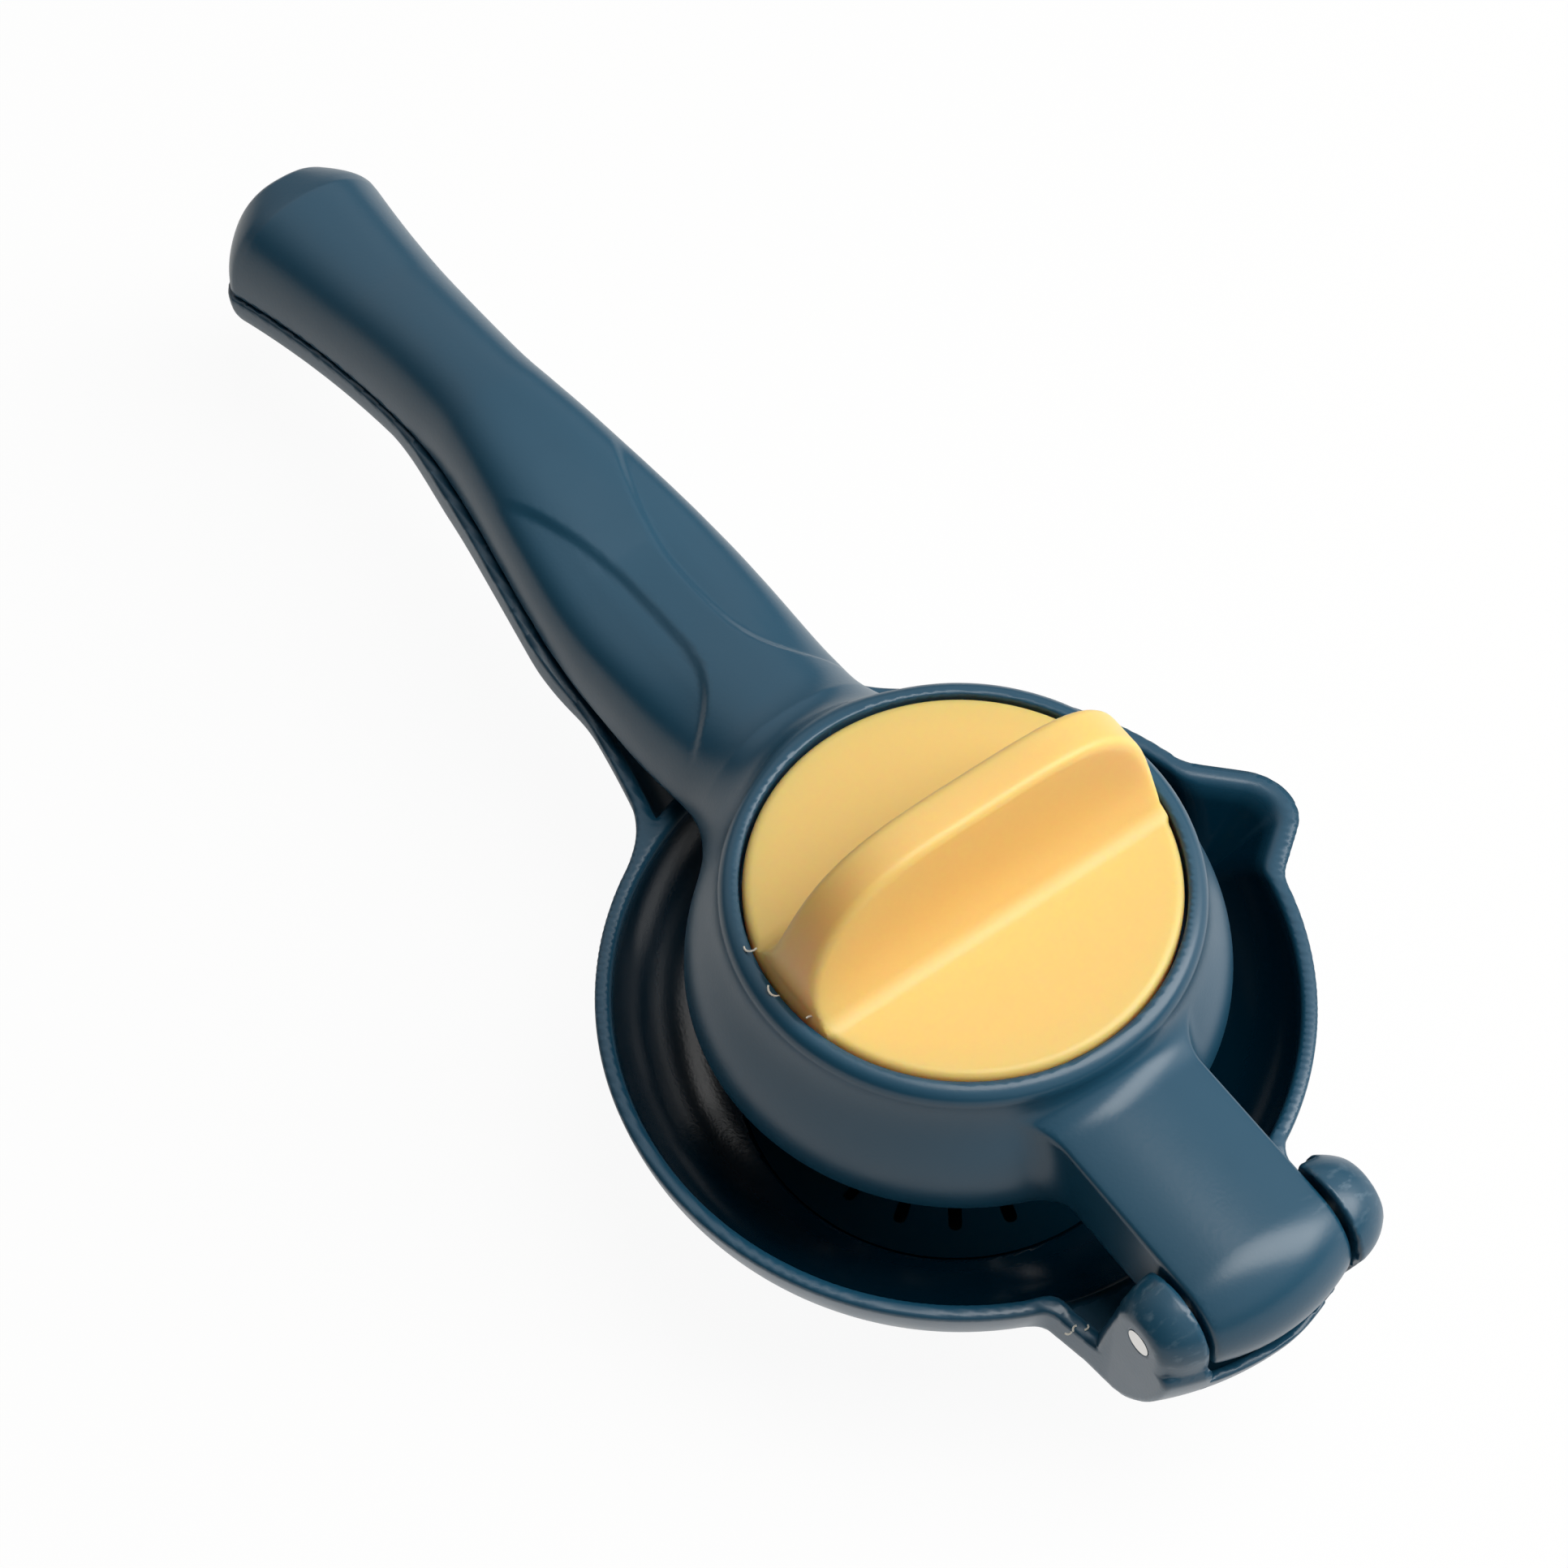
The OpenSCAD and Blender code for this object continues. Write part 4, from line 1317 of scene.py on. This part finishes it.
@dataclass(frozen=True)
class Strainer:
    """The slotted plate under the reamer."""

    radius: float = 31.3
    thickness: float = 2.2
    low: float = 6.5
    hole_r: float = 5.3
    slots: int = 20
    slot_l: float = 6.5
    slot_w: float = 2.0
    slot_at: float = 23.7
    slot_round: float = 0.49  # radius of a slot's ends, as a share of its width

    def build(self, material: Material) -> Thing:
        """Fills a disc round a hole and a ring of slots.

        Args:
            material: Finish of the piece.

        Returns:
            The strainer.
        """
        pattern = Pattern(
            "slotted_strainer",
            material,
            radius=self.radius * MM,
            thickness=self.thickness * MM,
            slots=self.slots,
            slot_length=self.slot_l * MM,
            slot_width=self.slot_w * MM,
        )
        size, put = pattern.size, pattern.add
        sides = {"Width": size["slot_length"], "Height": size["slot_width"]}
        bar = put("GeometryNodeCurvePrimitiveQuadrilateral", sides)
        width_share = {0: size["slot_width"], 1: self.slot_round}
        round_r = put("ShaderNodeMath", width_share, operation="MULTIPLY")
        slot = put("GeometryNodeFilletCurve", {0: bar, "Count": 6, "Radius": round_r}, mode="POLY")
        slots = pattern.around(slot, self.slot_at * MM, size["slots"], True)
        rings = {size["radius"]: 128, self.hole_r * MM: 48}
        return pattern.grow(pattern.plate(rings, [slots], size["thickness"], self.low))


@dataclass(frozen=True)
class FruitGripper:
    """The toothed plate under the drum's web, which turns with the knob."""

    radius: float = 29.0
    thickness: float = 2.6
    top: float = 54.2
    rim_w: float = 2.0
    rim_h: float = 2.0
    drive_r: float = 5.1
    tooth_h: float = 5.5
    tooth_r: float = 2.4
    tip_r: float = 0.5
    sunk: float = 0.3  # how far the rim and the teeth reach into the plate
    outer: int = 12
    inner: int = 6
    outer_at: float = 0.8
    inner_at: float = 0.5

    def build(self, material: Material) -> Thing:
        """Joins a plate with a hexagonal hole, a rim and two rings of teeth.

        Args:
            material: Finish of the piece.

        Returns:
            The gripper.
        """
        pattern = Pattern(
            "toothed_gripper",
            material,
            radius=self.radius * MM,
            thickness=self.thickness * MM,
            tooth_height=self.tooth_h * MM,
            tooth_radius=self.tooth_r * MM,
            outer_teeth=self.outer,
            inner_teeth=self.inner,
        )
        size, put = pattern.size, pattern.add
        low = self.top - self.thickness
        edges = {size["radius"]: 128, self.drive_r * MM: 6}
        plate = pattern.plate(edges, [], size["thickness"], low)
        edges = {size["radius"]: 128, (self.radius - self.rim_w) * MM: 128}
        rim = pattern.plate(edges, [], (self.rim_h + self.sunk) * MM, low - self.rim_h)
        radii = {"Radius Top": self.tip_r * MM, "Radius Bottom": size["tooth_radius"]}
        cone = put("GeometryNodeMeshCone", {"Vertices": 32, "Depth": size["tooth_height"], **radii})
        soft = put("GeometryNodeSetShadeSmooth", {0: cone, "Selection": cone.outputs["Side"]})
        tooth = put("GeometryNodeTransform", {0: soft, "Rotation": (math.pi, 0.0, 0.0)})
        outer = pattern.around(tooth, self.radius * self.outer_at * MM, size["outer_teeth"], False)
        inner = pattern.around(tooth, self.radius * self.inner_at * MM, size["inner_teeth"], False)
        # The inner teeth stand between the outer ones
        turn = (0.0, 0.0, math.pi / self.inner)
        between = put("GeometryNodeTransform", {0: inner, "Rotation": turn})
        rings = put("GeometryNodeJoinGeometry", {0: [outer, between]})
        down = (0.0, 0.0, (low + self.sunk) * MM)
        hung = put("GeometryNodeTransform", {0: rings, "Translation": down})
        return pattern.grow(put("GeometryNodeJoinGeometry", {0: [plate, rim, hung]}))


@dataclass(frozen=True)
class Burrs:
    """A few curled slivers that trimming left along an arc, whose angles are in degrees."""

    name: str
    radius: float
    height: float
    start: float
    sweep: float
    count: int
    curl: float
    seed: int
    thread: float = 0.15

    def build(self, material: Material) -> Thing:
        """Scatters short curled threads along the arc.

        Args:
            material: Finish of the slivers.

        Returns:
            The slivers as one piece.
        """
        pattern = Pattern(
            self.name,
            material,
            count=self.count,
            radius=self.radius * MM,
            curl=self.curl * MM,
            thread=self.thread * MM,
            seed=self.seed,
        )
        size, put = pattern.size, pattern.add
        angles = {"Start Angle": math.radians(self.start), "Sweep Angle": math.radians(self.sweep)}
        arc = {"Resolution": size["count"], "Radius": size["radius"], **angles}
        path = put("GeometryNodeCurveArc", arc)
        curl = put("GeometryNodeCurveArc", {"Resolution": 8, "Radius": size["curl"], "Sweep Angle": 2.2})
        thread = put("GeometryNodeCurvePrimitiveCircle", {"Resolution": 6, "Radius": size["thread"]})
        sliver = put("GeometryNodeCurveToMesh", {0: curl, 1: thread, "Fill Caps": True})
        tumble = {0: (-0.5, -0.5, 0.0), 1: (0.5, 0.5, 6.28), "Seed": size["seed"]}
        turn = put("FunctionNodeRandomValue", tumble, data_type="FLOAT_VECTOR")
        copies = {"Points": path, "Instance": sliver, "Rotation": turn}
        spots = put("GeometryNodeInstanceOnPoints", copies)
        up = (0.0, 0.0, self.height * MM)
        return pattern.grow(put("GeometryNodeTransform", {0: spots, "Translation": up}))


# ---------------------------------------------------------------- studio


@dataclass(frozen=True)
class Studio:
    """Camera, lamps, world and floor. Angles are in degrees, and lamps in metres and watts."""

    azimuth: float = 233.2982
    elevation: float = 58.0901
    roll: float = 0.36822
    distance: float = 599.472
    slide_x: float = -21.4831
    slide_y: float = 27.0632
    scale: float = 1.04
    focal_px: float = 5352.6
    centre_px: Span = (986.28, 977.2)
    image_px: float = 1932.0
    target_z: float = 32.0
    sensor: float = 36.0
    aim: Point = (0.02, 0.0, 0.03)
    lamps: tuple[tuple[str, Point, Span, float], ...] = (
        ("softbox", (-0.336, -0.528, 1.02), (0.7, 1.6), 19.5),
        ("side_box", (-0.3, -1.08, 0.432), (0.9, 0.9), 2.0),
    )
    lamp_tint: str = "#fffefc"
    surround: float = 0.04
    table_half: float = 5.0
    table_z: float = -0.0004
    table_shown: float = 0.94  # share of the table that is plain white; the rest takes shadow

    def axes(self) -> tuple[Vector, Vector, Vector]:
        """The camera's own axes.

        Returns:
            Its right, up and backward directions.
        """
        a, e, r = (math.radians(v) for v in (self.azimuth, self.elevation, self.roll))
        back = Vector((math.sin(a) * math.cos(e), -math.cos(a) * math.cos(e), math.sin(e)))
        right = Vector((math.cos(a), math.sin(a), 0.0))
        up = back.cross(right)
        turned = math.cos(r) * right + math.sin(r) * up
        return (turned, -math.sin(r) * right + math.cos(r) * up, back)

    def camera(self) -> None:
        """Makes the camera."""
        right, up, back = self.axes()
        spot = back * self.distance + right * self.slide_x + up * self.slide_y
        spot = spot * self.scale + Vector((0.0, 0.0, self.target_z))
        data = bpy.data.cameras.new("camera")
        data.sensor_width = self.sensor
        data.lens = self.focal_px / self.image_px * self.sensor
        data.shift_x = (self.image_px / 2 - self.centre_px[0]) / self.image_px
        data.shift_y = (self.centre_px[1] - self.image_px / 2) / self.image_px
        data.clip_start = 0.01
        data.clip_end = 10.0
        thing = bpy.data.objects.new("camera", data)
        turn = Matrix((right, up, back)).transposed().to_4x4()
        thing.matrix_world = Matrix.Translation(spot * MM) @ turn
        bpy.context.scene.collection.objects.link(thing)
        bpy.context.scene.camera = thing

    def lamp(self, name: str, place: Point, size: Span, power: float) -> None:
        """Adds a soft box that faces the squeezer.

        Args:
            name: Name of the lamp.
            place: Its place.
            size: Its width and length.
            power: Its power.
        """
        data = bpy.data.lights.new(name, "AREA")
        data.shape = "RECTANGLE"
        data.size, data.size_y = size
        data.energy = power
        data.color = colour(self.lamp_tint)[:3]
        thing = bpy.data.objects.new(name, data)
        spot = Vector(place)
        turn = (Vector(self.aim) - spot).to_track_quat("-Z", "Y")
        thing.matrix_world = Matrix.Translation(spot) @ turn.to_matrix().to_4x4()
        bpy.context.scene.collection.objects.link(thing)

    def world(self) -> None:
        """A dim surround that looks white, with a white card that only a gloss shows."""
        world = bpy.data.worlds.new("surround")
        tree = blank_tree(world)
        seen = add(tree, "ShaderNodeLightPath", {}).outputs
        heading = add(tree, "ShaderNodeTexCoord", {}).outputs["Generated"]
        way = add(tree, "ShaderNodeSeparateXYZ", {0: heading})
        # The card stands behind the hinge's near side, and fades to the far side and to the floor
        side = add(tree, "ShaderNodeMapRange", {0: way.outputs["Y"], 1: 0.2, 2: 0.8, 3: 1.0, 4: 0.1})
        over = add(tree, "ShaderNodeMapRange", {0: way.outputs["Z"], 1: 0.1, 2: 0.4, 3: 0.1, 4: 1.0})
        card = add(tree, "ShaderNodeMath", {0: side, 1: over}, operation="MULTIPLY")
        glossy = {0: card, 1: seen["Is Glossy Ray"]}
        shiny = add(tree, "ShaderNodeMath", glossy, operation="MULTIPLY")
        straight = {0: seen["Is Camera Ray"], 1: seen["Is Transmission Ray"]}
        direct = add(tree, "ShaderNodeMath", straight, operation="MAXIMUM")
        clear = add(tree, "ShaderNodeMath", {0: shiny, 1: direct}, operation="MAXIMUM")
        dim = {"Color": colour("#d9dde2"), "Strength": self.surround}
        white = {"Color": colour("#ffffff"), "Strength": 1.0}
        plain, bright = (add(tree, "ShaderNodeBackground", light) for light in (dim, white))
        both = add(tree, "ShaderNodeMixShader", {0: clear, 1: plain, 2: bright})
        add(tree, "ShaderNodeOutputWorld", {"Surface": both})
        bpy.context.scene.world = world

    def floor(self) -> None:
        """The matt white table top, which keeps a soft shadow and dims towards the handle."""
        s = self.table_half
        mesh = bpy.data.meshes.new("table_top")
        mesh.from_pydata([(-s, -s, 0), (s, -s, 0), (s, s, 0), (-s, s, 0)], [], [(0, 1, 2, 3)])
        thing = bpy.data.objects.new("table_top", mesh)
        thing.location.z = self.table_z
        bpy.context.scene.collection.objects.link(thing)
        material = bpy.data.materials.new("white_table")
        tree = blank_tree(material)
        seen = add(tree, "ShaderNodeLightPath", {}).outputs
        place = add(tree, "ShaderNodeTexCoord", {}).outputs["Object"]
        along = add(tree, "ShaderNodeSeparateXYZ", {0: place}).outputs["X"]
        pale = add(tree, "ShaderNodeMapRange", {0: along, 1: -0.02, 2: 0.08, 3: 1.0, 4: 0.3})
        glossy = {0: pale, 1: seen["Is Glossy Ray"]}
        shiny = add(tree, "ShaderNodeMath", glossy, operation="MULTIPLY")
        camera = {0: seen["Is Camera Ray"], 1: shiny}
        shown = add(tree, "ShaderNodeMath", camera, operation="MAXIMUM")
        share = add(tree, "ShaderNodeMath", {0: shown, 1: self.table_shown}, operation="MULTIPLY")
        matt = add(tree, "ShaderNodeBsdfDiffuse", {"Color": colour("#fafaf8")})
        white = add(tree, "ShaderNodeEmission", {"Color": colour("#ffffff"), "Strength": 1.0})
        both = add(tree, "ShaderNodeMixShader", {0: share, 1: matt, 2: white})
        add(tree, "ShaderNodeOutputMaterial", {"Surface": both})
        mesh.materials.append(material)

    def build(self) -> None:
        """Sets the whole studio up."""
        bpy.context.scene.view_settings.view_transform = "Standard"
        self.camera()
        for lamp in self.lamps:
            self.lamp(*lamp)
        self.world()
        self.floor()


# ---------------------------------------------------------------- assembly


def finish_piece(
    piece: Thing, material: Material, slot: Slot, body: Body, nodes: Iterable[str] = ()
) -> None:
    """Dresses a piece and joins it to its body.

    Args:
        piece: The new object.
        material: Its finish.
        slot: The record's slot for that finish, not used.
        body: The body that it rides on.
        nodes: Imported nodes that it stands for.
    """
    if not piece.data.materials:
        piece.data.materials.append(material)
    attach(piece, body.value)
    if nodes:
        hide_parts(*nodes)
    LOG.info("%s: %d faces on %s", piece.name, len(piece.data.polygons), body.value)


def main() -> None:
    """Builds every piece, dresses it and sets the studio up."""
    logging.basicConfig(level=logging.INFO, format="%(name)s: %(message)s")
    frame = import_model()
    # Deep blue body: satin outside, scuffed at the hinge, glossy inside the bowl and painted darker
    # there as painted shade
    scuffs = ((-65.0, -15.0, 53.0, 7.0), (-61.0, 15.5, 51.0, 6.0), (-67.0, 15.0, 47.0, 6.0))
    navy = MouldedPlastic(
        "navy_polypropylene", "#184a62", "#17465e", 0.3, 0.15, scuffs, polished_shade_tone="#02283a"
    ).build()
    # Knob and gripper: the same plastic with a pale pigment, a little duller and translucent
    yellow = MouldedPlastic(
        "yellow_polypropylene", "#fecd7b", "#fcca77", 0.42, 0.12, glow=0.6
    ).build()
    # Pins and screw: bright metal, grey where it shows the room and white where it shows a lamp
    steel = DrawnSteel("drawn_stainless_steel", "#d6d4d0", 0.3).build()
    finish_piece(UpperLever().build(), navy, Slot.NAVY, Body.LEVER, ["upper_lever"])
    finish_piece(LowerBody().build(), navy, Slot.NAVY, Body.BASE, ["lower_body"])
    finish_piece(TwistKnob().build(), yellow, Slot.YELLOW, Body.KNOB, ["twist_knob"])
    # Thin slivers of plastic that trimming stretched, which turned them whitish and matt; their
    # near-white colour is also partly painted highlight, so they stay bright in shade
    pale = MouldedPlastic("whitened_highlit_flash", "#fbf6ea", "#f6efdf", 0.5, 0.1).build()
    # The strainer and the reamer are glossy all over, and painted darker all over as painted shade
    for shape, node in ((Strainer(), "strainer"), (Reamer(), "reamer")):
        piece = shape.build(navy)
        mark_polish_and_shade(piece, np.ones(len(piece.data.vertices)))
        finish_piece(piece, navy, Slot.NAVY, Body.BASE, [node])
    finish_piece(FruitGripper().build(yellow), yellow, Slot.YELLOW, Body.KNOB, ["fruit_gripper"])
    seat_burrs = Burrs("seat_burrs", 30.8, 62.6, 73.0, 28.0, 3, 1.2, 4)
    finish_piece(seat_burrs.build(pale), pale, Slot.YELLOW, Body.LEVER)
    block_burrs = Burrs("block_burrs", 55.6, 32.1, 158.5, 2.5, 3, 0.5, 9)
    finish_piece(block_burrs.build(pale), pale, Slot.NAVY, Body.BASE)
    for name in ("gripper_washer", "gripper_screw", "hinge_pin"):
        frame["nodes"][name].data.materials.clear()
        frame["nodes"][name].data.materials.append(steel)
    Studio().build()


if __name__ == "__main__":
    main()
